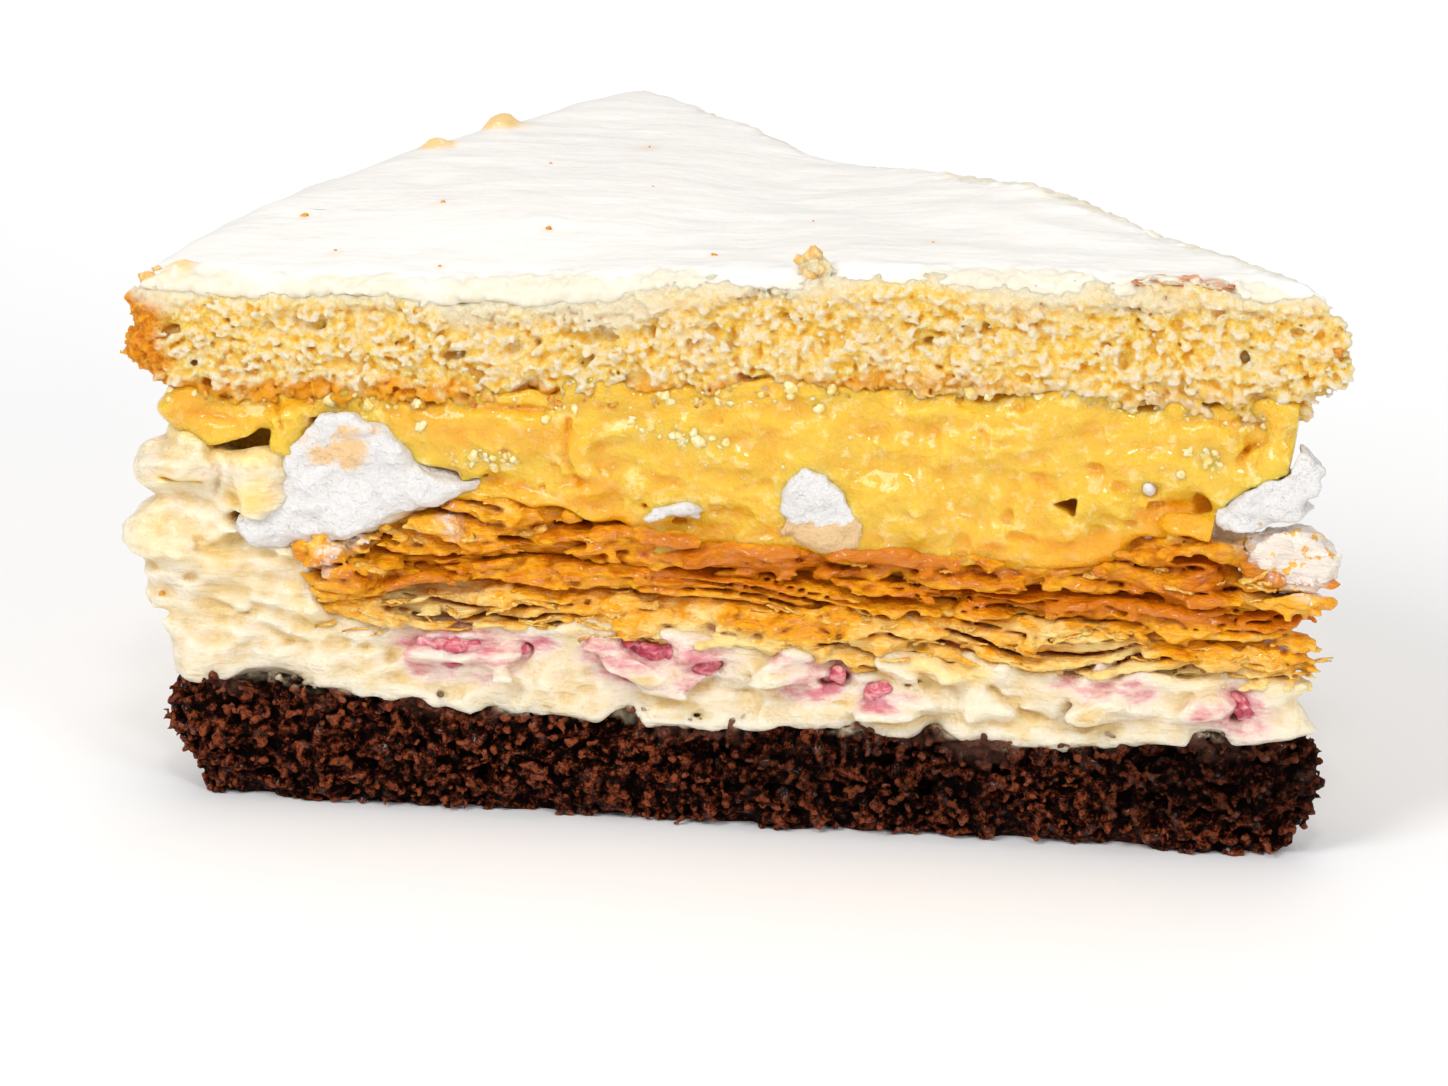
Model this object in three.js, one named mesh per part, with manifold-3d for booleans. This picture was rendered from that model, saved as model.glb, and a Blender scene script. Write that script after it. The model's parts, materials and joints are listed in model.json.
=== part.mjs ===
// A cut slice of a layered cream cake, in millimetres, +Z up.
// X runs along the front cut from the rim to the tip, and Y runs back from that cut.
// From below: chocolate sponge, cream with berries, three stacks of puff pastry, custard with meringue,
// vanilla sponge and a thin white glaze. The cream also climbs the rim as a wall.

import * as THREE from 'three';
import { ImprovedNoise } from 'three/addons/math/ImprovedNoise.js';
import { mergeVertices } from 'three/addons/utils/BufferGeometryUtils.js';
import Module from 'manifold-3d';

const { lerp, smoothstep, mapLinear } = THREE.MathUtils;
const wasm = await Module();
wasm.setup();
const noise = new ImprovedNoise();

// Plan of the slice: its three corners, their roundings, the bow of the rim and the cream wall behind it
const RIM_CORNER = new THREE.Vector2(-7.5, 0);
const TIP = new THREE.Vector2(117.5, 0);
const BACK_CORNER = new THREE.Vector2(30.5, 84.5);
const CENTRE = new THREE.Vector2(47, 28);
const CORNER_ROUND = 5;
const TIP_ROUND = 4;
const PASTRY_ROUND = 1.6;
const RIM_BOW = 4;
const CREAM_WALL = 15.5;
// The rim and the tip draw the cuts' ends along with them over these lengths
const RIM_LENGTH = 15;
const TIP_LENGTH = 14;
const TIP_BLUNT = 2;
// The seams settle to their inner height over this depth
const FRONT_DEPTH = 26;

// Gap between neighbours, reach of a cutting body past the faces that it cuts, and its far height
const GAP = 0.3;
const REACH = 14;
const SKY = 90;
// Height to spare of the upper pastry before the custard's floor trims it
const SPARE_HEIGHT = 4;
// Sides of the block that trims what stands out of a cut
const TRIM_BLOCK = { along: 400, inward: 200, up: 200 };

// Columns along each stretch of the outline, and the inner rings of a cap as shares of the way in
const COLUMNS = { front: 31, tip: 2, back: 21, apex: 2, rim: 13, corner: 3 };
const INNER_RINGS = [{ share: 0.3, step: 3 }, { share: 0.65, step: 9 }];
const FINE_RINGS = [{ share: 0.055, step: 1 }, ...INNER_RINGS];

// Seams between layers: heights against x at the front cut and at the back, and how much they sway
const SEAM = {
  chocolateTop: {
    front: [[0, 13.6], [20, 12.6], [50, 11.4], [78, 11.8], [84, 10.8], [92, 11.8], [112, 13.5]],
    back: [[0, 13.2], [60, 12.2], [112, 13.4]],
    sway: 0.5,
  },
  creamTop: {
    front: [[12, 20], [40, 20.4], [50, 19.2], [60, 19.4], [70, 17.4], [80, 19], [112, 17.6]],
    back: [[12, 19.6], [60, 19], [112, 17.8]],
    sway: 0.7,
  },
  lowerPastryTop: {
    front: [[10, 21.8], [28, 25], [50, 23.6], [60, 23.7], [72, 24.4], [95, 23.4], [114, 22]],
    back: [[10, 22.8], [60, 24], [114, 22]],
    sway: 0.4,
  },
  middlePastryTop: {
    front: [[10, 23.6], [28, 27.2], [42, 28], [53, 26.9], [97, 27], [116, 25.4]],
    back: [[10, 25.6], [60, 27.4], [116, 25.4]],
    sway: 0.4,
  },
  pastryTop: {
    front: [[-4, 38.4], [3, 37.6], [8, 33], [11, 30], [18, 31], [29, 35], [40, 33], [50, 31],
      [92, 30.2], [99, 33.4], [104, 34.8], [110, 33.4], [116, 31]],
    back: [[-4, 38.4], [12, 31.5], [40, 32], [90, 30.6], [104, 33.6], [116, 31]],
    sway: 0.6,
  },
  custardTop: {
    front: [[-5, 43.6], [30, 44.5], [50, 45.5], [62, 47.2], [90, 48.2], [96, 47.2], [112, 46.4]],
    back: [[-5, 43.8], [30, 45], [60, 46], [90, 47.6], [112, 46.6]],
    sway: 0.5,
  },
  spongeTop: {
    front: [[-5, 54.9], [35, 55.3], [50, 56.9], [60, 57.7], [70, 58.4], [112, 58.3]],
    back: [[0, 56.7], [30, 58.1], [45, 57.8], [58, 56.6], [70, 58.4], [82, 59.4], [112, 58.6]],
    sway: 0.2,
  },
};
const SWAY_LENGTH = 17;
// The cream wall stands this high at the rim and slopes down to the pastry
const WALL_TOP = 38.4;
const GLAZE_THICKNESS = 1.6;

// How far an edge stands out of the plan at the rim, at a cut and at the tip
const EDGE = {
  base: [-4.6, 0, -2.8],
  chocolateTop: [-1.8, 0.4, -1],
  pastry: [-0.4, -0.9, -1.4],
  pastryTop: [-2.2, -0.6, -1.5],
  custardTop: [-1.2, -0.5, -2.8],
  spongeTop: [0.8, -0.4, -1.2],
  glazeTop: [-0.8, -0.9, -3.5],
};

// Side rows of a layer, each with its share of the height and then its edge as above
const ROWS = {
  chocolate: [[0.3, -2.8, 1.1, -0.8], [0.62, -1, 1.3, 0.4], [0.86, -1.6, 0.9, -0.2]],
  cream: [[0.18, -0.4, 0.1, -2.2], [0.38, 0.5, 0.2, -2.2], [0.56, 3.3, 0.2, -2], [0.72, 1.2, 0.2, -2],
    [0.86, 1.6, 0.3, -2]],
  lowerPastry: [[0.2, -0.3, 0.9, -0.6], [0.48, -0.3, -0.9, -1.6], [0.6, -0.3, 0.8, -0.4],
    [0.88, -0.3, 0.4, -0.8]],
  middlePastry: [[0.16, -0.3, 0.8, -1.4], [0.48, -0.3, -0.7, -2.2], [0.66, -0.3, 0.8, -1.2],
    [0.9, -0.3, 0.2, -1.4]],
  upperPastry: [[0.1, -0.3, 0.9, 1.4], [0.3, -0.3, -0.8, 1], [0.4, -0.3, 0.9, 1.4], [0.64, -0.3, 0.4, -0.6]],
  custard: [[0.2, -1, 0.2, -4.6], [0.5, -0.6, 0.1, -5.6], [0.8, 0, 0.2, -4]],
  sponge: [[0.16, 1.2, 0.1, -1.2], [0.42, 2.5, 0.3, 1], [0.7, 1, 0.2, 2], [0.92, 1.8, 0.2, 0.6]],
  glaze: [[0.35, 1.2, 0.4, -0.8], [0.75, 0.7, 0.2, -1.6]],
};

// Roughness of a side: how far its points stray out and up, the size of a crag, its share at the rim
const ROUGH = {
  chocolate: { out: 1, up: 0.5, crag: 1.9, atRim: 1, seed: 1 },
  cream: { out: 1, up: 1.4, crag: 7, atRim: 1, seed: 2 },
  lowerPastry: { out: 1.5, up: 0.3, crag: 3, atRim: 0, seed: 3 },
  middlePastry: { out: 1.3, up: 0.25, crag: 3.2, atRim: 0, seed: 4 },
  upperPastry: { out: 1.4, up: 0.3, crag: 3.4, atRim: 0, seed: 5 },
  custard: { out: 0.5, up: 0.3, crag: 6, atRim: 1, seed: 6 },
  sponge: { out: 0.7, up: 0.5, crag: 2, atRim: 1, seed: 7 },
  glaze: { out: 0.3, up: 0.1, crag: 7, atRim: 1, seed: 8 },
};
// Every edge that two layers share has this roughness, so that they keep their gap
const SHARED_EDGE = { out: 0.35, up: 0, crag: 2.6, atRim: 1, seed: 0 };

// Lobes of glaze that run over the edge: least and greatest drop, their length, the share kept at the rim
const GLAZE_RUN = { least: 0.4, greatest: 2.2, lobe: 5.5, atRim: 0.4 };
// The back cut of sponge and glaze strays from a flat plane, against x
const BACK_STRAY = [[36, 0], [57, -2.4], [68, 0], [80, 2], [96, 0.6], [110, 0]];

// Lumps set in a cut, each of blobs: place along the cut, height, then half sizes along, up and inward
const FRONT_LUMPS = {
  meringue_left: [[15, 37.2, 7.2, 5.4, 7.8], [7.6, 31.4, 5, 2.8, 6], [21.6, 35.2, 6.6, 2.2, 5],
    [14, 33, 7, 3, 7]],
  meringue_middle: [[64.2, 36.2, 4.2, 3.2, 6], [65, 32.6, 4.8, 1.6, 5]],
  meringue_sliver: [[48.8, 34, 3.4, 1, 4]],
  meringue_bead: [[98, 38.8, 1.2, 1.2, 1.8]],
  meringue_right: [[110, 40.2, 4.6, 3.6, 5], [106.4, 37.4, 3.4, 2.6, 4]],
  sugar_crust: [[112, 31.6, 4.4, 3.1, 4.6]],
  custard_drop: [[4.6, 35, 3, 1.5, 4]],
  berry_1: [[28.5, 17.9, 6.4, 1.4, 5]],
  berry_2: [[47.6, 17.6, 7, 2, 7]],
  berry_3: [[63.4, 17.4, 4, 1.2, 5]],
  berry_4: [[71.6, 15, 2.2, 0.9, 3]],
  berry_5: [[93.5, 16.4, 3.6, 1.3, 5]],
  berry_6: [[105.8, 15.8, 3.4, 1.3, 4.5]],
};
const BACK_LUMPS = {
  meringue_back_1: [[27, 37.6, 6.6, 4.2, 7]],
  meringue_back_2: [[84, 37.4, 7.4, 3.6, 7]],
  berry_7: [[24, 16, 4.6, 1.4, 6]],
  berry_8: [[57, 16.2, 6, 1.8, 6]],
  berry_9: [[90, 16.2, 4.6, 1.5, 6]],
};
const LUMP = { stray: 0.28, crag: 0.6, proud: 0.5, sink: 0.3 };
// Largest half size of a blob up to which the coarsest facets serve
const SMALL_BLOB = 2.5;
// Places in the noise, kept apart so that no two forms stray alike
const SEED = { out: 0.37, up: 7.71, glazeRun: 3.3, lump: 0.5, lumpStep: 3.7, topBit: 20, pit: 1, slit: 2 };

// Hollows torn in the front cut, read as the lumps are
const CUSTARD_PIT = [[89.6, 36.3, 1.3, 1, 2.4]];
const PASTRY_SLIT = [[103, 32, 3.4, 0.6, 3]];

// Crumbs and a browned flake that stick to the glaze: place, half sizes and how high their middle lies
const TOP_BITS = [
  { place: [63.2, 0.9], size: [1.8, 1.3, 1.9], lift: 0.8 },
  { place: [18.4, 61.4], size: [1.6, 3.2, 1.2], lift: 0.1 },
  { place: [13.4, 50], size: [1.2, 1.8, 0.8], lift: 0.1 },
  { place: [-2.6, 2.4], size: [1.8, 1.4, 0.8], lift: 0 },
  { place: [100.5, 0.7], size: [4.6, 1, 0.7], lift: 0 },
];

// Finishes: colour, roughness
const FINISH = {
  chocolate: [0x3a1910, 0.85],
  cream: [0xf4dfb4, 0.5],
  pastry: [0xc9781f, 0.45],
  palePastry: [0xedad44, 0.5],
  custard: [0xfbd364, 0.3],
  meringue: [0xf3ebe4, 0.8],
  berry: [0xda9394, 0.4],
  sponge: [0xecc77e, 0.85],
  glaze: [0xfdfaf3, 0.3],
};

// Straight-line reading of a list of [position, value] pairs
function read(pairs, at) {
  const next = pairs.findIndex(([position]) => position > at);
  if (next === 0) return pairs[0][1];
  if (next < 0) return pairs[pairs.length - 1][1];
  return mapLinear(at, pairs[next - 1][0], pairs[next][0], pairs[next - 1][1], pairs[next][1]);
}

// Height of a seam over the plan: as seen at the front cut, and swaying gently further back
function seamHeight(seam, x, y) {
  const depth = smoothstep(y, 0, FRONT_DEPTH);
  const sway = seam.sway * depth * noise.noise(x / SWAY_LENGTH, y / SWAY_LENGTH, seam.front.length);
  return lerp(read(seam.front, x), read(seam.back, x), depth) + sway;
}

// Distance from the rim's chord, positive inside the slice
function rimDepth(x, y) {
  const chord = BACK_CORNER.clone().sub(RIM_CORNER).normalize();
  return (x - RIM_CORNER.x) * chord.y - (y - RIM_CORNER.y) * chord.x;
}

// Top of the pastry, which the cream wall overtops all along the rim
function pastryTopHeight(x, y) {
  const behind = smoothstep(y, 0, CREAM_WALL);
  const inland = smoothstep(rimDepth(x, y), 0, CREAM_WALL);
  const plain = seamHeight(SEAM.pastryTop, Math.max(x, lerp(x, CREAM_WALL, behind)), y);
  return lerp(plain, lerp(WALL_TOP, plain, inland), behind);
}

const heightOf = Object.fromEntries(
  Object.entries(SEAM).map(([name, seam]) => [name, (x, y) => seamHeight(seam, x, y)]),
);
heightOf.pastryTop = pastryTopHeight;

// A seam's height shifted up or down
const shifted = (name, shift) => (x, y) => heightOf[name](x, y) + shift;

// Columns round the slice, anticlockwise from the front cut. Each has its place, its outward direction, the
// direction in which it slides as the rim grows, and its shares of rim, slide and tip.
// The pastry's outline has its rim moved in behind the cream wall.
function outline(inset, round) {
  const rimRun = BACK_CORNER.clone().sub(RIM_CORNER);
  const inward = new THREE.Vector2(rimRun.y, -rimRun.x).normalize();
  const backRun = TIP.clone().sub(BACK_CORNER).normalize();
  const near = new THREE.Vector2(RIM_CORNER.x + inset / inward.x, 0);
  const far = BACK_CORNER.clone().addScaledVector(backRun, inset / backRun.dot(inward));
  const step = (from, to, run) => from.clone().addScaledVector(to.clone().sub(from).normalize(), run);
  const frontStart = step(near, TIP, round);
  const frontEnd = step(TIP, near, TIP_ROUND);
  const backStart = step(TIP, far, TIP_ROUND);
  const backEnd = step(far, TIP, round);
  const rimStart = step(far, near, round);
  const rimEnd = step(near, far, round);
  const bow = rimStart.clone().lerp(rimEnd, 0.5).addScaledVector(inward, -2 * RIM_BOW);
  const nearSlide = new THREE.Vector2(-1, 0).divideScalar(inward.x);
  const farSlide = backRun.clone().divideScalar(-backRun.dot(inward));
  const stretches = [
    ['front', new THREE.LineCurve(frontStart, frontEnd), 0, 0, nearSlide],
    ['tip', new THREE.QuadraticBezierCurve(frontEnd, TIP, backStart), 0, 0, nearSlide],
    ['back', new THREE.LineCurve(backStart, backEnd), 0, 0, farSlide],
    ['apex', new THREE.QuadraticBezierCurve(backEnd, far, rimStart), 0, 1, farSlide],
    ['rim', new THREE.QuadraticBezierCurve(rimStart, bow, rimEnd), 1, 1, inward.clone().negate()],
    ['corner', new THREE.QuadraticBezierCurve(rimEnd, near, frontStart), 1, 0, nearSlide],
  ];
  const column = (side, curve, rimFrom, rimTo, slide, share) => {
    const place = curve.getPoint(share);
    const along = curve.getTangent(share);
    const cornerRun = Math.min(place.distanceTo(near), place.distanceTo(far));
    return {
      side,
      place,
      slide,
      out: new THREE.Vector2(along.y, -along.x),
      rim: lerp(rimFrom, rimTo, share),
      drawn: side === 'rim' ? 1 : 1 - smoothstep(cornerRun, round, RIM_LENGTH),
      tip: 1 - smoothstep(place.distanceTo(TIP), TIP_BLUNT, TIP_LENGTH),
    };
  };
  return stretches.flatMap((stretch) => {
    const count = COLUMNS[stretch[0]];
    return Array.from({ length: count }, (_, i) => column(...stretch, i / count));
  });
}

// A ring with one point for each column, moved out by an edge and strayed by roughness
function edgeRing(columns, edge, heightAt, rough, level) {
  const tipRun = TIP.clone().sub(CENTRE).normalize();
  return columns.map((column) => {
    const { x, y } = column.place;
    const tone = (shift) => noise.noise(x / rough.crag + shift, y / rough.crag, level + rough.seed);
    const share = lerp(1, rough.atRim, column.rim);
    const stray = rough.backStray && column.side === 'back' ? read(BACK_STRAY, x) : 0;
    const out = lerp(edge[1], 0, column.rim) + share * rough.out * tone(SEED.out) + stray;
    const place = column.place.clone().addScaledVector(column.out, out)
      .addScaledVector(column.slide, edge[0] * column.drawn)
      .addScaledVector(tipRun, (edge[2] - edge[1]) * column.tip);
    const up = share * rough.up * tone(SEED.up);
    return new THREE.Vector3(place.x, place.y, heightAt(place.x, place.y, column) + up);
  });
}

// The rings of a cap inside its edge, ending with one point at the centre
function capRings(edge, heightAt, rings) {
  const made = rings.map(({ share, step }) => edge.filter((_, i) => i % step === 0).map((point) => {
    const place = new THREE.Vector2(point.x, point.y).lerp(CENTRE, share);
    return new THREE.Vector3(place.x, place.y, heightAt(place.x, place.y));
  }));
  return [...made, [new THREE.Vector3(CENTRE.x, CENTRE.y, heightAt(CENTRE.x, CENTRE.y))]];
}

// Triangles between two rings that hold as many points, or three times as many, or a third, or one
function stitch(first, second) {
  const at = (ring, i) => ring.start + (i % ring.count);
  const faces = [];
  for (let i = 0; i < Math.max(first.count, second.count); i += 1) {
    if (first.count === 1) {
      faces.push([first.start, at(second, i + 1), at(second, i)]);
    } else if (second.count === 1) {
      faces.push([at(first, i), at(first, i + 1), second.start]);
    } else if (first.count === second.count) {
      const [a, b, c, d] = [at(first, i), at(first, i + 1), at(second, i + 1), at(second, i)];
      faces.push(...((i + first.row) % 2 ? [[a, b, c], [a, c, d]] : [[a, b, d], [b, c, d]]));
    } else if (i % 3 === 0 && first.count < second.count) {
      const [near, far] = [at(first, i / 3), at(first, i / 3 + 1)];
      const [a, b, c, d] = [0, 1, 2, 3].map((k) => at(second, i + k));
      faces.push([near, b, a], [near, far, b], [far, c, b], [far, d, c]);
    } else if (i % 3 === 0) {
      const [near, far] = [at(second, i / 3), at(second, i / 3 + 1)];
      const [a, b, c, d] = [0, 1, 2, 3].map((k) => at(first, i + k));
      faces.push([a, b, near], [b, far, near], [b, c, far], [c, d, far]);
    }
  }
  return faces;
}

// A closed skin through rings that run from the centre below, out, up and back to the centre above
function skin(rings) {
  const starts = rings.map((_, row) => rings.slice(0, row).flat().length);
  const placed = rings.map((ring, row) => ({ start: starts[row], count: ring.length, row }));
  const faces = placed.slice(1).flatMap((ring, i) => stitch(placed[i], ring));
  const geometry = new THREE.BufferGeometry();
  geometry.setAttribute('position', new THREE.Float32BufferAttribute(rings.flat().flatMap((p) => [...p]), 3));
  geometry.setIndex(faces.flat());
  return geometry;
}

// A layer between a floor and a roof. Their edges may lie at heights of their own.
function layer(columns, { floor, roof, floorEdge, roofEdge, rows, rough, ...more }) {
  const { floorAtEdge = floor, roofAtEdge = roof, floorRings = INNER_RINGS, roofRings = INNER_RINGS } = more;
  const shared = { ...SHARED_EDGE, backStray: rough.backStray };
  const between = (share) => (x, y, column) => (
    lerp(floorAtEdge(x, y, column), roofAtEdge(x, y, column), share)
  );
  const low = edgeRing(columns, floorEdge, floorAtEdge, shared, 0);
  const high = edgeRing(columns, roofEdge, roofAtEdge, shared, 0);
  return skin([
    ...capRings(low, floor, floorRings).reverse(),
    low,
    ...rows.map(([share, ...edge], row) => edgeRing(columns, edge, between(share), rough, row + 1)),
    high,
    ...capRings(high, roof, roofRings),
  ]);
}

// All that lies under a surface, out past every side of the slice
function spaceUnder(columns, surface, edge) {
  const rim = edgeRing(columns, edge, surface, SHARED_EDGE, 0);
  const apron = rim.map((point, i) => new THREE.Vector3(
    point.x + REACH * columns[i].out.x,
    point.y + REACH * columns[i].out.y,
    point.z,
  ));
  const foot = apron.map((point) => new THREE.Vector3(point.x, point.y, -REACH));
  const middle = [new THREE.Vector3(CENTRE.x, CENTRE.y, -REACH)];
  return skin([middle, foot, apron, rim, ...capRings(rim, surface, INNER_RINGS)]);
}

// The pastry's room above a surface: open past both cuts, and held off the cream wall by a clearance
function pastryRoom(columns, surface, clearance) {
  const edge = edgeRing(columns, EDGE.pastry, surface, SHARED_EDGE, 0);
  const backOut = columns.find(({ side }) => side === 'back').out;
  const pull = { front: REACH, tip: REACH, back: REACH, apex: REACH, rim: 0, corner: REACH };
  const pullWay = { apex: backOut, corner: new THREE.Vector2(0, -1) };
  const apron = columns.map(({ place, out, side }, i) => {
    const way = pullWay[side] ?? out;
    const point = place.clone().addScaledVector(out, clearance).addScaledVector(way, pull[side]);
    return new THREE.Vector3(point.x, point.y, edge[i].z);
  });
  const lid = apron.map((point) => new THREE.Vector3(point.x, point.y, SKY));
  const middle = [new THREE.Vector3(CENTRE.x, CENTRE.y, SKY)];
  return skin([...capRings(edge, surface, INNER_RINGS).reverse(), edge, apron, lid, middle]);
}

function toSolid(geometry) {
  const bare = geometry.clone();
  bare.deleteAttribute('normal');
  bare.deleteAttribute('uv');
  const merged = mergeVertices(bare);
  return new wasm.Manifold(new wasm.Mesh({
    numProp: 3,
    vertProperties: new Float32Array(merged.attributes.position.array),
    triVerts: new Uint32Array(merged.index.array),
  }));
}

function toGeometry(solid) {
  const { vertProperties, triVerts } = solid.getMesh();
  const geometry = new THREE.BufferGeometry();
  geometry.setAttribute('position', new THREE.Float32BufferAttribute([...vertProperties], 3));
  geometry.setIndex([...triVerts]);
  return geometry;
}

// The largest body of a solid, as a cut can leave loose scraps
function largestBody(solid) {
  return solid.decompose().sort((a, b) => b.volume() - a.volume())[0];
}

// Frames of the two cuts: first axis along the cut, second axis into the cake
function cutFrames() {
  const run = BACK_CORNER.clone().sub(TIP).normalize();
  const along = new THREE.Vector3(run.x, run.y, 0);
  const inward = new THREE.Vector3(-run.y, run.x, 0);
  const back = new THREE.Matrix4().makeBasis(along, inward, new THREE.Vector3(0, 0, 1));
  return { front: new THREE.Matrix4(), back: back.setPosition(TIP.x, TIP.y, 0) };
}

// A rounded blob of the given half sizes grown by a clearance, its surface strayed by noise
function blob(size, place, clearance, seed) {
  const grown = new THREE.Vector3(...size).addScalar(clearance);
  const geometry = new THREE.IcosahedronGeometry(1, Math.max(...size) < SMALL_BLOB ? 0 : 1);
  const points = geometry.attributes.position;
  for (let i = 0; i < points.count; i += 1) {
    const p = new THREE.Vector3().fromBufferAttribute(points, i);
    const tone = noise.noise(p.x / LUMP.crag + seed, p.y / LUMP.crag, p.z / LUMP.crag);
    p.multiplyScalar(1 + LUMP.stray * tone).multiply(grown).add(place);
    points.setXYZ(i, p.x, p.y, p.z);
  }
  return geometry;
}

// Blobs joined into one lump in the frame of a cut, grown all round by a clearance
function lump(blobs, frame, clearance, seed) {
  return blobs.map(([along, high, halfAlong, halfHigh, halfIn], i) => {
    const place = new THREE.Vector3(along, LUMP.sink * halfIn, high);
    return toSolid(blob([halfAlong, halfIn, halfHigh], place, clearance, seed + i).applyMatrix4(frame));
  }).reduce((whole, part) => whole.add(part));
}

// The half space inside a cut, which trims lumps almost flush with the face that the knife left
function insideCut(frame) {
  const body = new THREE.BoxGeometry(TRIM_BLOCK.along, TRIM_BLOCK.inward, TRIM_BLOCK.up);
  body.translate(0, TRIM_BLOCK.inward / 2 - LUMP.proud, 0);
  return toSolid(body.applyMatrix4(frame));
}

// How far the glaze drops over the edge at a column
function glazeRun({ place, rim }) {
  const tone = noise.noise(place.x / GLAZE_RUN.lobe, place.y / GLAZE_RUN.lobe, SEED.glazeRun);
  const lobe = 0.5 + 0.5 * tone;
  return lerp(1, GLAZE_RUN.atRim, rim) * lerp(GLAZE_RUN.least, GLAZE_RUN.greatest, lobe);
}

function makeLayers() {
  const cake = outline(0, CORNER_ROUND);
  const pastry = outline(CREAM_WALL, PASTRY_ROUND);
  const above = (name) => shifted(name, GAP / 2);
  const below = (name) => shifted(name, -GAP / 2);
  const draped = (shift) => (x, y, column) => heightOf.spongeTop(x, y) - glazeRun(column) + shift;
  const room = (clearance) => toSolid(pastryRoom(pastry, below('creamTop'), clearance));
  const underCustard = toSolid(spaceUnder(cake, below('pastryTop'), EDGE.pastryTop));
  const stack = (floor, roof, rows, rough) => toSolid(layer(pastry, {
    floor, roof, floorEdge: EDGE.pastry, roofEdge: EDGE.pastry, rows, rough,
  })).intersect(room(0));
  return {
    chocolate_sponge: toSolid(layer(cake, {
      floor: () => 0,
      roof: below('chocolateTop'),
      floorEdge: EDGE.base,
      roofEdge: EDGE.chocolateTop,
      rows: ROWS.chocolate,
      rough: ROUGH.chocolate,
    })),
    cream: toSolid(layer(cake, {
      floor: above('chocolateTop'),
      roof: below('pastryTop'),
      floorEdge: EDGE.chocolateTop,
      roofEdge: EDGE.pastryTop,
      rows: ROWS.cream,
      rough: ROUGH.cream,
    })).subtract(room(GAP)),
    pastry_lower: stack(above('creamTop'), below('lowerPastryTop'), ROWS.lowerPastry, ROUGH.lowerPastry),
    pastry_middle: stack(
      above('lowerPastryTop'), below('middlePastryTop'), ROWS.middlePastry, ROUGH.middlePastry,
    ),
    pastry_upper: stack(
      above('middlePastryTop'), shifted('pastryTop', SPARE_HEIGHT), ROWS.upperPastry, ROUGH.upperPastry,
    ).intersect(underCustard),
    custard: toSolid(layer(cake, {
      floor: above('pastryTop'),
      roof: below('custardTop'),
      floorEdge: EDGE.pastryTop,
      roofEdge: EDGE.custardTop,
      rows: ROWS.custard,
      rough: ROUGH.custard,
    })),
    vanilla_sponge: toSolid(layer(cake, {
      floor: above('custardTop'),
      roof: below('spongeTop'),
      roofAtEdge: draped(0),
      roofRings: FINE_RINGS,
      floorEdge: EDGE.custardTop,
      roofEdge: EDGE.spongeTop,
      rows: ROWS.sponge,
      rough: { ...ROUGH.sponge, backStray: true },
    })),
    glaze: toSolid(layer(cake, {
      floor: above('spongeTop'),
      roof: shifted('spongeTop', GLAZE_THICKNESS),
      floorAtEdge: draped(GAP),
      roofAtEdge: shifted('spongeTop', GLAZE_THICKNESS - GAP),
      floorRings: FINE_RINGS,
      roofRings: FINE_RINGS,
      floorEdge: EDGE.spongeTop,
      roofEdge: EDGE.glazeTop,
      rows: ROWS.glaze,
      rough: { ...ROUGH.glaze, backStray: true },
    })),
  };
}

// Sets the lumps into the layers, each cut out of what it touches with a gap round it
function setLumps(solids) {
  const frames = cutFrames();
  const trim = insideCut(frames.front).intersect(insideCut(frames.back));
  const kinds = [[FRONT_LUMPS, frames.front], [BACK_LUMPS, frames.back]];
  const entries = kinds.flatMap(([lumps, frame]) => Object.entries(lumps).map((entry) => [...entry, frame]));
  const set = { ...solids };
  entries.forEach(([name, blobs, frame], order) => {
    const seed = SEED.lump + SEED.lumpStep * order;
    const hollow = lump(blobs, frame, GAP, seed);
    Object.keys(set).forEach((other) => {
      set[other] = set[other].subtract(hollow);
    });
    set[name] = lump(blobs, frame, 0, seed).intersect(trim);
  });
  return set;
}

// Joins the crumbs and the flake to the glaze that they stick to
function addTopBits(glaze) {
  return TOP_BITS.reduce((whole, { place: [x, y], size, lift }, i) => {
    const z = heightOf.spongeTop(x, y) + GLAZE_THICKNESS + lift;
    return whole.add(toSolid(blob(size, new THREE.Vector3(x, y, z), 0, SEED.topBit + i)));
  }, glaze);
}

function finishOf(name) {
  const kinds = [
    ['chocolate', 'chocolate'], ['cream', 'cream'], ['pastry_lower', 'palePastry'], ['pastry', 'pastry'],
    ['custard', 'custard'], ['meringue', 'meringue'], ['sugar', 'meringue'], ['berry', 'berry'],
    ['vanilla', 'sponge'], ['glaze', 'glaze'],
  ];
  const [color, roughness] = FINISH[kinds.find(([start]) => name.startsWith(start))[1]];
  return new THREE.MeshStandardMaterial({ color, roughness, metalness: 0 });
}

function makeCake() {
  const solids = setLumps(makeLayers());
  const frame = cutFrames().front;
  solids.custard = solids.custard.subtract(lump(CUSTARD_PIT, frame, 0, SEED.pit));
  solids.pastry_upper = solids.pastry_upper.subtract(lump(PASTRY_SLIT, frame, 0, SEED.slit));
  solids.glaze = addTopBits(solids.glaze);
  const slice = new THREE.Group();
  Object.entries(solids).forEach(([name, solid]) => {
    const mesh = new THREE.Mesh(toGeometry(largestBody(solid)), finishOf(name));
    mesh.name = name;
    slice.add(mesh);
  });
  const box = new THREE.Box3().setFromObject(slice);
  const middle = box.getCenter(new THREE.Vector3());
  slice.position.set(-middle.x, -middle.y, -box.min.z);
  return slice;
}

export default makeCake();
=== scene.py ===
"""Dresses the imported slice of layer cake: crumb, cream, pastry leaves, custard, meringue, berries and glaze.

Every layer is worked as clay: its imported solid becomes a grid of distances, which is roughened, torn and
carved, and then meshed. Lengths inside the clay are millimetres; finished pieces are in metres.
"""

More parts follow.
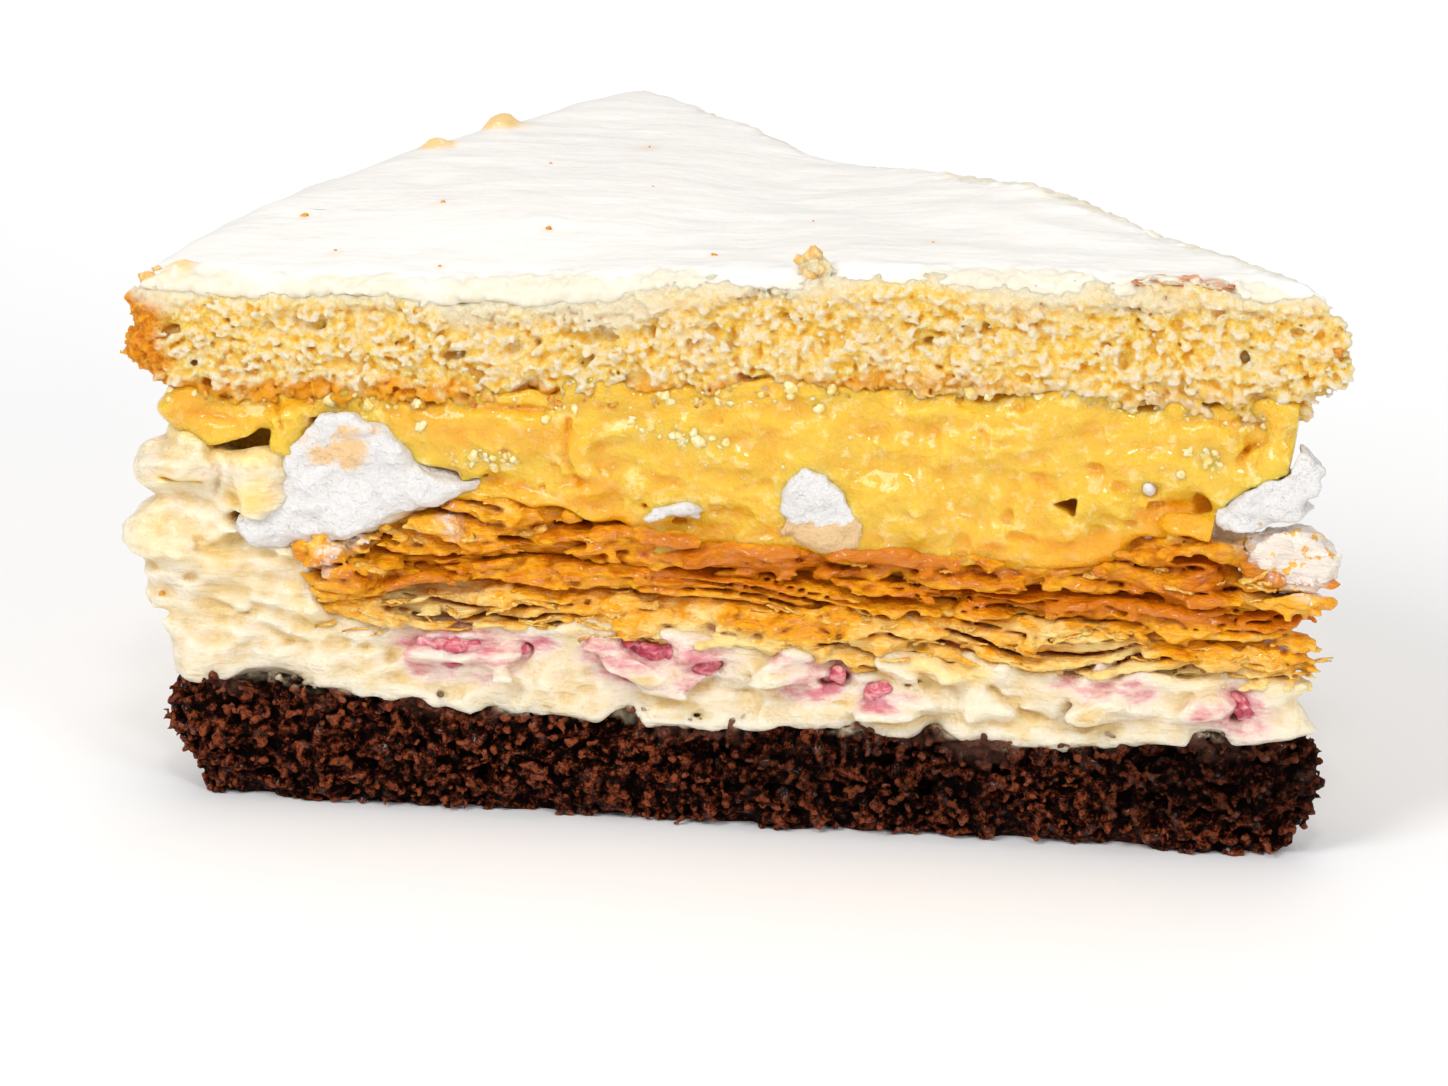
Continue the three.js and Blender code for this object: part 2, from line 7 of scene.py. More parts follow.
import json
import logging
import math
from dataclasses import dataclass
from enum import Enum
from itertools import product
from typing import Sequence

import bmesh
import bpy
import numpy as np
import openvdb
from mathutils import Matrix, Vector
from mathutils.bvhtree import BVHTree

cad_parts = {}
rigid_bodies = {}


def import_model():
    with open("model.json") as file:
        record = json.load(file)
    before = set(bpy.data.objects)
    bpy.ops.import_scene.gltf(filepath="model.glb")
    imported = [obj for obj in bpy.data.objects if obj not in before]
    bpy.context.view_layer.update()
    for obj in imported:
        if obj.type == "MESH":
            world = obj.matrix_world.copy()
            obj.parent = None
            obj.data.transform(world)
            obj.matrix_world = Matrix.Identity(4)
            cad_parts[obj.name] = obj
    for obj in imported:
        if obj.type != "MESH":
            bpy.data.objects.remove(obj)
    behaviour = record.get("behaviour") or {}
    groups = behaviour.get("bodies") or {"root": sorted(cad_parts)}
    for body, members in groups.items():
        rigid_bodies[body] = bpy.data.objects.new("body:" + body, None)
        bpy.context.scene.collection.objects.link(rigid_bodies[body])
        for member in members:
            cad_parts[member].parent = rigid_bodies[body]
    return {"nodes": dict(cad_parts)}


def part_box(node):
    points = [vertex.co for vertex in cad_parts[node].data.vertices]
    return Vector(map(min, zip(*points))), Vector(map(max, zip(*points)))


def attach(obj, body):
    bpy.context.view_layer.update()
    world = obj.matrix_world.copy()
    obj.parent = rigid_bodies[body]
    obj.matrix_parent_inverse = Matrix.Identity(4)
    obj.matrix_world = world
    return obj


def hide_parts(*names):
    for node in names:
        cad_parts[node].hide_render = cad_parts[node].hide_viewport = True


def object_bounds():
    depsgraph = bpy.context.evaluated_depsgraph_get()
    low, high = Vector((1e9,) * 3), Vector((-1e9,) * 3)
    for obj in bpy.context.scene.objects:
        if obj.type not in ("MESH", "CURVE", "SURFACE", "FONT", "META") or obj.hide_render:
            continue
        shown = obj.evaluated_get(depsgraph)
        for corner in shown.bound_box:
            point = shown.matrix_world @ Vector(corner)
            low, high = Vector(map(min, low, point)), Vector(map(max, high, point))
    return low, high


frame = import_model()
CAD_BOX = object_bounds()

log = logging.getLogger("cake")

MM = 0.001
Array = np.ndarray
Colour = tuple[float, float, float]
Path = Sequence[tuple[float, float]]

# The front cut is measured from the base's front left bottom corner, which sits this far inside the box.
CORNER_INSET = (9.63, 1.80)
CORNER = np.array([side / MM + inset for side, inset in zip(CAD_BOX[0], CORNER_INSET)])
# Corners of the slice seen from above, and how far its rim bows out between two of them.
RIM_CORNER = np.array([-7.5, 0.0])
TIP = np.array([117.5, 0.0])
BACK_CORNER = np.array([30.5, 84.5])
RIM_BOW = 4.0

# Spacing of the coarse distances, how far they are filled in, and how far solids swell to close their seams.
COARSE = 0.6
REACH = 6.0
CLOSE = 0.16
# How far the whole slice swells while the gaps between its layers are closed.
SHELL = 0.35
# Grains are worked out this near to the surface, and have this value everywhere else.
GRAIN_REACH = 2.2
NO_GRAIN = 0.55
# Distances are cut off at this many millimetres before they are meshed.
BAND = 1.2
# How strongly thinning spares the front; it is set against squared errors in metres.
THIN_BIAS = 3e-5
# Below this height the underside doesn't count as an outside, so it stays plain and flat.
ABOVE_FLOOR = np.float32(4.5)


# Numbers and fields


def ease(low: float, high: float, value: Array) -> Array:
    """Ease from 0 to 1 as the value passes from low to high, which may also run downwards."""
    t = np.clip((value - low) / (high - low), 0.0, 1.0)
    return t * t * (3.0 - 2.0 * t)


def carry(values: Array, source: Array, target: Array, axis: int) -> Array:
    """Carry values from evenly spaced lines to other lines with smooth cubic weights.

    Args:
        values: an array whose chosen axis follows the source lines.
        source: evenly spaced positions of the known lines.
        target: positions where values are wanted.
        axis: the axis that is resampled.

    Returns:
        The array with its chosen axis on the target lines.
    """
    u = (target - source[0]) / (source[1] - source[0])
    base = np.floor(u).astype(int)
    f = (u - base).astype(np.float32)
    parts = ((1 - f) ** 3, 3 * f ** 3 - 6 * f ** 2 + 4, -3 * f ** 3 + 3 * f ** 2 + 3 * f + 1, f ** 3)
    shape = [1] * values.ndim
    shape[axis] = len(target)
    total = None
    for shift, part in enumerate(parts, start=-1):
        block = np.take(values, np.clip(base + shift, 0, len(source) - 1), axis=axis)
        block *= (part / 6).reshape(shape)
        total = block if total is None else np.add(total, block, out=total)
    return total


def path_gap(along: Array, height: Array, path: Path) -> Array:
    """Distance in a flat face to a bent line drawn on it.

    Args:
        along: places along the face.
        height: heights.
        path: the line's places and heights.

    Returns:
        The distance for each place.
    """
    best = np.float32(1e3)
    for (a0, z0), (a1, z1) in zip(path, path[1:] if len(path) > 1 else path):
        da, dz = a1 - a0, z1 - z0
        size = max(da * da + dz * dz, 1e-9)
        t = np.clip(((along - a0) * da + (height - z0) * dz) / size, 0, 1)
        best = np.minimum(best, np.hypot(along - a0 - t * da, height - z0 - t * dz))
    return best


def outline_gap(along: Array, height: Array, outline: Path) -> Array:
    """Distance in a flat face to a closed outline drawn on it.

    Args:
        along: places along the face.
        height: heights.
        outline: its corners.

    Returns:
        The distance for each place, negative inside.
    """
    closed = [*outline, outline[0]]
    gap = path_gap(along, height, closed)
    inside = np.zeros(gap.shape, bool)
    for (a0, z0), (a1, z1) in zip(closed, closed[1:]):
        if z0 != z1:
            inside ^= ((z0 > height) != (z1 > height)) & (along < a0 + (height - z0) * (a1 - a0) / (z1 - z0))
    return np.where(inside, -gap, gap)


@dataclass
class Field:
    """Values on the points of a box-shaped grid, whose lines may be unevenly spaced, in millimetres."""

    axes: list[Array]
    values: Array

    def onto(self, axes: Sequence[Array]) -> Array:
        """The values carried smoothly to another grid; this field's own lines are evenly spaced.

        Args:
            axes: positions of the other grid's lines.

        Returns:
            The values on the other grid.
        """
        values = self.values
        for k in reversed(range(len(axes))):
            values = carry(values, self.axes[k], axes[k], k)
        return values

    def at(self, points: Array) -> Array:
        """The values at loose points.

        Args:
            points: one row of three coordinates for each point.

        Returns:
            One value for each point.
        """
        low, part = [], []
        for k, axis in enumerate(self.axes):
            u = np.interp(points[:, k], axis, np.arange(len(axis)))
            base = np.minimum(u.astype(int), len(axis) - 2)
            low.append(base)
            part.append(u - base)
        total = np.zeros(len(points))
        for corner in product((0, 1), repeat=3):
            share = np.ones(len(points))
            for step, f in zip(corner, part):
                share = share * (f if step else 1 - f)
            total += share * self.values[tuple(b + step for b, step in zip(low, corner))]
        return total


def grain(axes: Sequence[Array], pitch: float | Sequence[float], seed: int) -> Array:
    """Soft random relief over a grid, of spread 1 about 0.

    Args:
        axes: positions of the grid's lines, two or three of them.
        pitch: size of the relief, the same or one value for each axis.
        seed: picks the pattern.

    Returns:
        The relief on the grid.
    """
    sizes = np.broadcast_to(np.asarray(pitch, float), (len(axes),))
    rng = np.random.default_rng(seed)
    lattice = [np.arange(a[0] - 2.3 * s, a[-1] + 3 * s, s) for a, s in zip(axes, sizes)]
    knots = rng.standard_normal([len(x) for x in lattice]).astype(np.float32)
    values = Field(lattice, knots).onto(axes)
    return np.divide(values, values.std(), out=values)


def box_blur(values: Array, reach: int) -> Array:
    """Average over a cube of cells around each cell.

    Args:
        values: a three-dimensional array.
        reach: cells taken to each side.

    Returns:
        An array of the same shape.
    """
    width = 2 * reach + 1
    for k in range(3):
        pad = [(0, 0)] * 3
        pad[k] = (reach + 1, reach)
        sums = np.cumsum(np.pad(values, pad, mode="edge"), axis=k, dtype=np.float32)
        first = [slice(None)] * 3
        last = [slice(None)] * 3
        first[k], last[k] = slice(0, -width), slice(width, None)
        values = (sums[tuple(last)] - sums[tuple(first)]) / width
    return values


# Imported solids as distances


def node_mesh(names: Sequence[str]) -> tuple[Array, Array]:
    """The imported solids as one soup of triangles.

    Args:
        names: CAD nodes.

    Returns:
        Corner points in millimetres and triangles.
    """
    points, triangles, count = [], [], 0
    for name in names:
        mesh = frame["nodes"][name].data
        mesh.calc_loop_triangles()
        co = np.zeros(len(mesh.vertices) * 3, np.float32)
        mesh.vertices.foreach_get("co", co)
        ids = np.zeros(len(mesh.loop_triangles) * 3, np.int32)
        mesh.loop_triangles.foreach_get("vertices", ids)
        points.append(co.reshape(-1, 3) / MM)
        triangles.append(ids.reshape(-1, 3) + count)
        count += len(mesh.vertices)
    return np.concatenate(points), np.concatenate(triangles)


def level(points: Array, triangles: Array, quads: Array | None = None) -> openvdb.FloatGrid:
    """A coarse grid of distances to a closed mesh, filled in to REACH on both sides."""
    return openvdb.FloatGrid.createLevelSetFromPolygons(
        points, triangles=triangles, quads=quads, transform=openvdb.createLinearTransform(COARSE),
        halfWidth=REACH / COARSE)


def as_field(grid: openvdb.FloatGrid) -> Field:
    """A coarse grid as a plain field over its filled box.

    Args:
        grid: distances to a closed mesh.

    Returns:
        The same distances, negative inside.
    """
    low, high = grid.evalActiveVoxelBoundingBox()
    values = np.zeros([b - a + 1 for a, b in zip(low, high)], np.float32)
    grid.copyToArray(values, ijk=low)
    return Field([(np.arange(n) + a) * COARSE for n, a in zip(values.shape, low)], values)


class Solids:
    """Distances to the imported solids, each worked out once."""

    def __init__(self) -> None:
        """Start with no distances worked out."""
        self.known: dict[tuple[str, ...], Field] = {}

    def of(self, *names: str) -> Field:
        """Distances to some nodes taken together.

        Args:
            names: CAD nodes.

        Returns:
            A coarse field, negative inside.
        """
        if names not in self.known:
            self.known[names] = as_field(level(*node_mesh(names)))
        return self.known[names]

    def whole(self) -> Field:
        """Distances to the outside of the whole slice, with the gaps between its layers closed.

        Returns:
            A coarse field, negative inside.
        """
        if ("whole",) not in self.known:
            united = level(*node_mesh(sorted(frame["nodes"])))
            points, quads = united.convertToQuads(isovalue=SHELL)
            shell = level(points, np.zeros((0, 3), np.int32), quads)
            self.known["whole",] = as_field(shell)
            self.known["whole",].values += SHELL
        return self.known["whole",]


SOLIDS = Solids()


def rim_depth(x: Array, y: Array) -> Array:
    """How far inside the bowed outer rim a place lies.

    Args:
        x: packed positions along the front cut, in millimetres.
        y: packed positions away from the front cut.

    Returns:
        Millimetres, positive inside.
    """
    chord = BACK_CORNER - RIM_CORNER
    length = np.hypot(*chord)
    px, py = x - CORNER[0] - RIM_CORNER[0], y - CORNER[1] - RIM_CORNER[1]
    along = (px * chord[0] + py * chord[1]) / length
    inward = (px * chord[1] - py * chord[0]) / length
    bow = RIM_BOW * (1 - (2 * along / length - 1) ** 2)
    return inward + bow


# Clay


class Clay:
    """A layer being worked: distances to its surface on a grid that is finest at the front cut."""

    def __init__(self, nodes: Sequence[str], pitch: float, margin: float = 2.4, grow: float = CLOSE,
                 coarse: float = 1.6) -> None:
        """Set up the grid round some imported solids.

        Args:
            nodes: CAD nodes that the layer stands for.
            pitch: spacing of the grid's lines in millimetres.
            margin: room left round the solids.
            grow: how far the solids are swelled, which closes the gaps between layers.
            coarse: how many times wider the lines stand away from the front cut.
        """
        boxes = np.array([[list(c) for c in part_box(n)] for n in nodes]) / MM
        low, high = boxes[:, 0].min(0) - margin, boxes[:, 1].max(0) + margin
        self.nodes, self.pitch = tuple(nodes), pitch
        steps, y = [], low[1]
        while y < high[1]:
            steps.append(y)
            near = ease(2.0, 9.0, np.array(y - CORNER[1]))
            y += pitch * (1 + (coarse - 1) * float(near))
        low[2] = max(low[2], -2 * pitch)
        across = [np.arange(a, b, pitch) for a, b in zip(low, high)]
        self.axes = [a.astype(np.float32) for a in (across[0], np.array(steps), across[2])]
        self.form = SOLIDS.of(*nodes).onto(self.axes) - np.float32(grow)
        self.skin = SOLIDS.whole().onto([*self.axes[:2], np.maximum(self.axes[2], ABOVE_FLOOR)])
        self.open = ease(-3.6, -1.2, self.skin)
        self.x = self.axes[0][:, None, None]
        self.y = self.axes[1][None, :, None]
        self.z = self.axes[2][None, None, :]

    def grain(self, pitch: float | Sequence[float], seed: int) -> Array:
        """Soft random relief of spread 1 over this grid."""
        return grain(self.axes, pitch, seed)

    def cells(self, pitch: float | Sequence[float], seed: int, wobble: float = 0.0) -> Array:
        """Rounded grains with creases between them, worked out near the surface only.

        Args:
            pitch: distance between grains, the same or one value for each axis.
            seed: picks the pattern.
            wobble: how far grains are bent out of shape, in millimetres.

        Returns:
            Distance to the middle of the nearest grain over the pitch.
        """
        near = (np.abs(self.form) < GRAIN_REACH) & (self.open > 0.02)
        picked = np.nonzero(near)
        sizes = np.broadcast_to(np.asarray(pitch, np.float32), (3,))
        spots = [a[i] for a, i in zip(self.axes, picked)]
        if wobble:
            for k in range(3):
                spots[k] = spots[k] + wobble * self.grain(2.0 * sizes, seed + 7 + k)[picked]
        spots = [(p - a[0]) / s + 1.5 for p, a, s in zip(spots, self.axes, sizes)]
        cell = [np.maximum(p.astype(np.int32), 1) for p in spots]
        shape = [int(c.max()) + 3 for c in cell]
        jitter = np.random.default_rng(seed).random([3, *shape], dtype=np.float32)
        best = np.full(len(spots[0]), 9.0, np.float32)
        for step in product((-1, 0, 1), repeat=3):
            at = tuple(c + s for c, s in zip(cell, step))
            gap = sum((a + jitter[n][at] - p) ** 2 for n, (a, p) in enumerate(zip(at, spots)))
            np.minimum(best, gap, out=best)
        whole = np.full(self.form.shape, NO_GRAIN, np.float32)
        whole[picked] = np.sqrt(best)
        return whole

    def swell(self, amount: Array) -> None:
        """Move the open surface outwards by a number of millimetres for each cell."""
        self.form -= self.open * amount

    def front(self) -> tuple[Array, Array]:
        """Place along the front cut from its left corner, and depth behind it, in millimetres."""
        return self.x - CORNER[0], self.y - CORNER[1]

    def depth(self) -> Array:
        """Depth behind the nearer of the two cuts, in millimetres."""
        along, depth = self.front()
        run = (BACK_CORNER - TIP) / np.hypot(*(BACK_CORNER - TIP))
        return np.minimum(depth, (depth - TIP[1]) * run[0] - (along - TIP[0]) * run[1])

    def line(self, path: Path) -> tuple[Array, Array]:
        """Distance in the plane of the front cut to a bent line drawn on it.

        Args:
            path: places along the cut and heights.

        Returns:
            The distance from the line, and the depth behind the cut.
        """
        along, depth = self.front()
        return path_gap(along, self.z, path), depth

    def press(self, path: Path, radius: float, amount: float, reach: float = 5.0) -> None:
        """Push the cut face in softly along a line, or out where the amount is negative.

        Args:
            path: places along the cut and heights.
            radius: half the width of the dent.
            amount: depth of the dent in millimetres.
            reach: how far behind the cut it still works.
        """
        gap, depth = self.line(path)
        self.form += amount * ease(radius, 0.0, gap) * ease(reach, reach * 0.4, depth)

    def slot(self, path: Path, width: float, reach: float) -> None:
        """Cut a sharp gap into the face along a line.

        Args:
            path: places along the cut and heights.
            width: half the height of the gap.
            reach: its depth behind the cut.
        """
        gap, depth = self.line(path)
        taper = width * np.clip(1.3 - depth / reach, 0.0, 1.0)
        self.form = np.maximum(self.form, np.minimum(taper - gap, (reach - depth) * 0.5))

    def trim(self, outline: Path, narrow: float = 0.25) -> None:
        """Cut the layer down to an outline drawn on the front, which narrows behind.

        Args:
            outline: corners of what stays, places along the cut and heights.
            narrow: how much it narrows for each millimetre of depth.
        """
        along, depth = self.front()
        gap = outline_gap(along, self.z, outline)
        self.form = np.maximum(self.form, gap + narrow * np.clip(depth - 2.0, 0.0, None))

    def carve(self, outline: Path, reach: float) -> None:
        """Take out what lies inside an outline drawn on the front.

        Args:
            outline: corners of what goes, places along the cut and heights.
            reach: how far behind the cut it goes.
        """
        along, depth = self.front()
        gap = outline_gap(along, self.z, outline)
        self.form = np.maximum(self.form, np.minimum(-gap, reach - depth))

    def chip(self, count: int, seed: int, most: float) -> None:
        """Break flat faces into a lump all round.

        Args:
            count: number of faces.
            seed: picks the faces.
            most: greatest depth of a break in millimetres.
        """
        rng = np.random.default_rng(seed)
        spots = np.stack([a[i] for a, i in zip(self.axes, np.nonzero(self.form < 0))])
        for _ in range(count):
            way = rng.standard_normal(3)
            way /= np.linalg.norm(way)
            far = (way @ spots).max() - most * rng.uniform(0.4, 1.0)
            face = way[0] * self.x + way[1] * self.y + way[2] * self.z - far
            self.form = np.maximum(self.form, face.astype(np.float32))

    def fill(self, *nodes: str, below: float | Array = 0.9, blend: float = 0.5) -> None:
        """Let the layer close up round lumps that lie in it, so that no gap shows between them.

        Args:
            nodes: CAD nodes of the lumps.
            below: how far under the lumps' surface the layer stays; it covers them where this is negative.
            blend: width of the soft fillet.
        """
        lump = SOLIDS.of(*nodes).onto(self.axes) + np.asarray(below, np.float32)
        self.unite(lump, blend)

    def meet(self, *nodes: str, amount: float | Array = 0.45, reach: float = 1.2) -> None:
        """Swell the layer towards its neighbours, so that it touches them.

        Args:
            nodes: CAD nodes of the neighbours.
            amount: millimetres by which it swells at the seam.
            reach: distance from the neighbours at which it starts to swell.
        """
        self.form -= amount * ease(reach, 0.0, SOLIDS.of(*nodes).onto(self.axes))

    def unite(self, other: Array, blend: float) -> None:
        """Join another form with a soft fillet.

        Args:
            other: distances to the other form.
            blend: width of the fillet.
        """
        h = np.clip(0.5 + 0.5 * (other - self.form) / blend, 0, 1)
        self.form = other * (1 - h) + self.form * h - blend * h * (1 - h)

    def pile(self, path: Path, radius: float, out: float, flat: float, blend: float) -> None:
        """Lay a rounded roll of the same stuff on the cut face.

        Args:
            path: places along the cut and heights.
            radius: half the roll's height.
            out: how far the roll's middle stands out of the cut.
            flat: how many times deeper than high the roll is.
            blend: width of the fillet at its foot.
        """
        gap, depth = self.line(path)
        roll = np.hypot(gap, (depth + out) / flat) - radius
        self.unite(roll, blend)

    def mesh(self, name: str, target: int, keep: float = 1.0) -> "Skin":
        """Turn the clay into a closed mesh.

        Args:
            name: name of the piece.
            target: most triangles it may have.
            keep: how deep below the outside the mesh stays fine, in millimetres.

        Returns:
            The new piece with its places in the clay.
        """
        clipped = np.clip(np.maximum(self.form, -self.z), -BAND, BAND).astype(np.float32)
        clipped[[0, -1]] = clipped[:, [0, -1]] = clipped[:, :, [0, -1]] = BAND
        grid = openvdb.FloatGrid(BAND)
        grid.copyFromArray(clipped, tolerance=1e-6)
        grid.gridClass = "level set"
        points, triangles, quads = grid.convertToPolygons(isovalue=0.0, adaptivity=0.02)
        places = np.stack([np.interp(points[:, k], np.arange(len(a)), a) for k, a in enumerate(self.axes)], 1)
        faces = [triangles[:, ::-1], quads[:, ::-1]]
        return Skin(self, name, places, faces, target, keep)


class Skin:
    """The mesh of a worked layer, thinned where nobody sees it, with values on its points for the finish."""

    def __init__(self, clay: Clay, name: str, places: Array, faces: list[Array], target: int,
                 keep: float) -> None:
        """Build the mesh and thin it.

        Args:
            clay: the worked layer.
            name: name of the piece.
            places: points in millimetres.
            faces: triangles and four-sided faces.
            target: most triangles it may have.
            keep: depth that stays fine.
        """
        self.clay = clay
        self.object = largest_shells(build_object(name, places * MM, faces))
        count = triangle_count(self.object.data)
        log.info("%s meshed with %d triangles", name, count)
        if count > target:
            self.thin(target / count, keep)
        log.info("%s kept %d triangles", name, triangle_count(self.object.data))
        self.places = points_of(self.object.data) / MM

    def thin(self, ratio: float, keep: float) -> None:
        """Thin the mesh, first where it is hidden.

        Args:
            ratio: share of the triangles that stays.
            keep: depth that stays fine.
        """
        mesh = self.object.data
        skin = Field(self.clay.axes, self.clay.skin)
        places = points_of(mesh) / MM
        deep = ease(-keep, -keep - 2.0, skin.at(places))
        behind = 0.4 * ease(2.5, 8.0, places[:, 1] - CORNER[1])
        group = self.object.vertex_groups.new(name="hidden")
        # A vertex group takes one weight at a time, so the weights are rounded to tenths.
        steps = np.round(np.maximum(deep, behind) * 10) / 10
        for value in np.arange(1, 11) / 10:
            group.add(np.nonzero(np.abs(steps - value) < 0.01)[0].tolist(), float(value), "REPLACE")
        thinner = self.object.modifiers.new("thin", "DECIMATE")
        thinner.ratio = ratio
        thinner.vertex_group = group.name
        thinner.vertex_group_factor = THIN_BIAS
        thinner.use_collapse_triangulate = True
        evaluated = self.object.evaluated_get(bpy.context.evaluated_depsgraph_get())
        fresh = bpy.data.meshes.new_from_object(evaluated)
        fresh.name = mesh.name
        self.object.modifiers.clear()
        self.object.vertex_groups.clear()
        self.object.data = fresh
        bpy.data.meshes.remove(mesh)
        fresh.shade_smooth()

    def hollow(self, reach: float) -> Array:
        """How enclosed each point is: low on crumbs that stand out, high in pits.

        Args:
            reach: size of the neighbourhood in millimetres.

        Returns:
            A value from 0 to 1 for each point.
        """
        solid = np.clip(0.5 - self.clay.form / self.clay.pitch, 0, 1)
        cells = max(1, round(reach / self.clay.pitch))
        return Field(self.clay.axes, box_blur(box_blur(solid, cells), max(1, cells // 2))).at(self.places)

    def near(self, *nodes: str) -> Array:
        """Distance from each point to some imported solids, negative inside them."""
        return SOLIDS.of(*nodes).at(self.places)

    def patch(self, path: Path, radius: float, soft: float = 1.0) -> Array:
        """Share of each point in a soft-edged patch painted on the front cut.

        Args:
            path: places along the cut and heights.
            radius: half the width of the patch.
            soft: width of its soft edge.

        Returns:
            A value from 0 to 1 for each point.
        """
        along, depth, height = (self.places - [*CORNER, 0.0]).T
        return ease(radius + soft, radius - soft, path_gap(along, height, path)) * ease(6.0, 4.0, depth)

    def over(self, base: Array, patches: Sequence[tuple[Path, float, float]], soft: float = 1.0) -> Array:
        """Paint patches over a value, each as strong as its share.

        Args:
            base: the value that they are painted over.
            patches: lines, radii and shares.
            soft: width of their soft edges.

        Returns:
            The greatest value at each point.
        """
        for path, radius, share in patches:
            base = np.maximum(base, share * self.patch(path, radius, soft))
        return base

    def spot(self, x: float, y: float, radius: float, soft: float = 0.6) -> Array:
        """Share of each point in a soft-edged round spot seen from above.

        Args:
            x: place along the front cut.
            y: place behind the front cut.
            radius: the spot's radius.
            soft: width of its soft edge.

        Returns:
            A value from 0 to 1 for each point.
        """
        gap = np.hypot(self.places[:, 0] - CORNER[0] - x, self.places[:, 1] - CORNER[1] - y)
        return ease(radius + soft, radius - soft, gap)

    def read(self, values: Array) -> Array:
        """Values of the clay's grid at the points."""
        return Field(self.clay.axes, values).at(self.places)

    def noise(self, pitch: float | Sequence[float], seed: int) -> Array:
        """Soft random values of spread 1 at the points."""
        return self.read(self.clay.grain(pitch, seed))

    def mark(self, name: str, values: Array) -> None:
        """Store a value for each point, which the finish reads by name."""
        mark(self.object.data, name, values)


def mark(mesh: bpy.types.Mesh, name: str, values: Array) -> None:
    """Store a value for each point of a mesh, which the finish reads by name."""
    layer = mesh.attributes.new(name, "FLOAT", "POINT")
    layer.data.foreach_set("value", np.asarray(values, np.float32))


def points_of(mesh: bpy.types.Mesh) -> Array:
    """The points of a mesh as rows."""
    co = np.zeros(len(mesh.vertices) * 3, np.float32)
    mesh.vertices.foreach_get("co", co)
    return co.reshape(-1, 3)


def triangle_count(mesh: bpy.types.Mesh) -> int:
    """Number of triangles that a mesh comes to."""
    return len(mesh.loops) - 2 * len(mesh.polygons)


def build_object(name: str, points: Array, faces: Sequence[Array]) -> bpy.types.Object:
    """A smooth mesh object from arrays.

    Args:
        name: name of the piece.
        points: rows of coordinates in metres.
        faces: arrays of faces, each with one number of corners.

    Returns:
        The object, linked into the scene.
    """
    faces = [f for f in faces if len(f)]
    mesh = bpy.data.meshes.new(name)
    mesh.vertices.add(len(points))
    mesh.vertices.foreach_set("co", np.asarray(points, np.float32).ravel())
    sizes = np.concatenate([np.full(len(f), f.shape[1], np.int32) for f in faces])
    corners = np.concatenate([f.ravel() for f in faces]).astype(np.int32)
    mesh.loops.add(len(corners))
    mesh.loops.foreach_set("vertex_index", corners)
    mesh.polygons.add(len(sizes))
    mesh.polygons.foreach_set("loop_start", np.concatenate([[0], np.cumsum(sizes)[:-1]]).astype(np.int32))
    mesh.update(calc_edges=True)
    mesh.shade_smooth()
    piece = bpy.data.objects.new(name, mesh)
    bpy.context.scene.collection.objects.link(piece)
    return piece


def largest_shells(piece: bpy.types.Object) -> bpy.types.Object:
    """Drop the sealed bubbles and the loose grains that the carving left.

    Args:
        piece: a mesh object.

    Returns:
        The same object with its largest closed shell only.
    """
    mesh = piece.data
    ends = np.zeros(len(mesh.edges) * 2, np.int32)
    mesh.edges.foreach_get("vertices", ends)
    a, b = ends[0::2], ends[1::2]
    label = np.arange(len(mesh.vertices))
    while True:
        least = np.minimum(label[a], label[b])
        fresh = label.copy()
        np.minimum.at(fresh, a, least)
        np.minimum.at(fresh, b, least)
        fresh = fresh[fresh]
        fresh = fresh[fresh]
        if np.array_equal(fresh, label):
            break
        label = fresh
    ids, counts = np.unique(label, return_counts=True)
    keep = label == ids[counts.argmax()]
    if keep.all():
        return piece
    loops = np.zeros(len(mesh.loops), np.int32)
    mesh.loops.foreach_get("vertex_index", loops)
    starts = np.zeros(len(mesh.polygons), np.int32)
    mesh.polygons.foreach_get("loop_start", starts)
    sizes = np.diff(np.concatenate([starts, [len(loops)]]))
    number = np.cumsum(keep) - 1
    faces = []
    for corners in (3, 4):
        picked = starts[sizes == corners]
        block = loops[picked[:, None] + np.arange(corners)]
        block = block[keep[block[:, 0]]] if len(block) else block
        faces.append(number[block])
    points = points_of(mesh)[keep]
    name = piece.name
    bpy.data.objects.remove(piece)
    bpy.data.meshes.remove(mesh)
    return build_object(name, points, faces)


# Materials


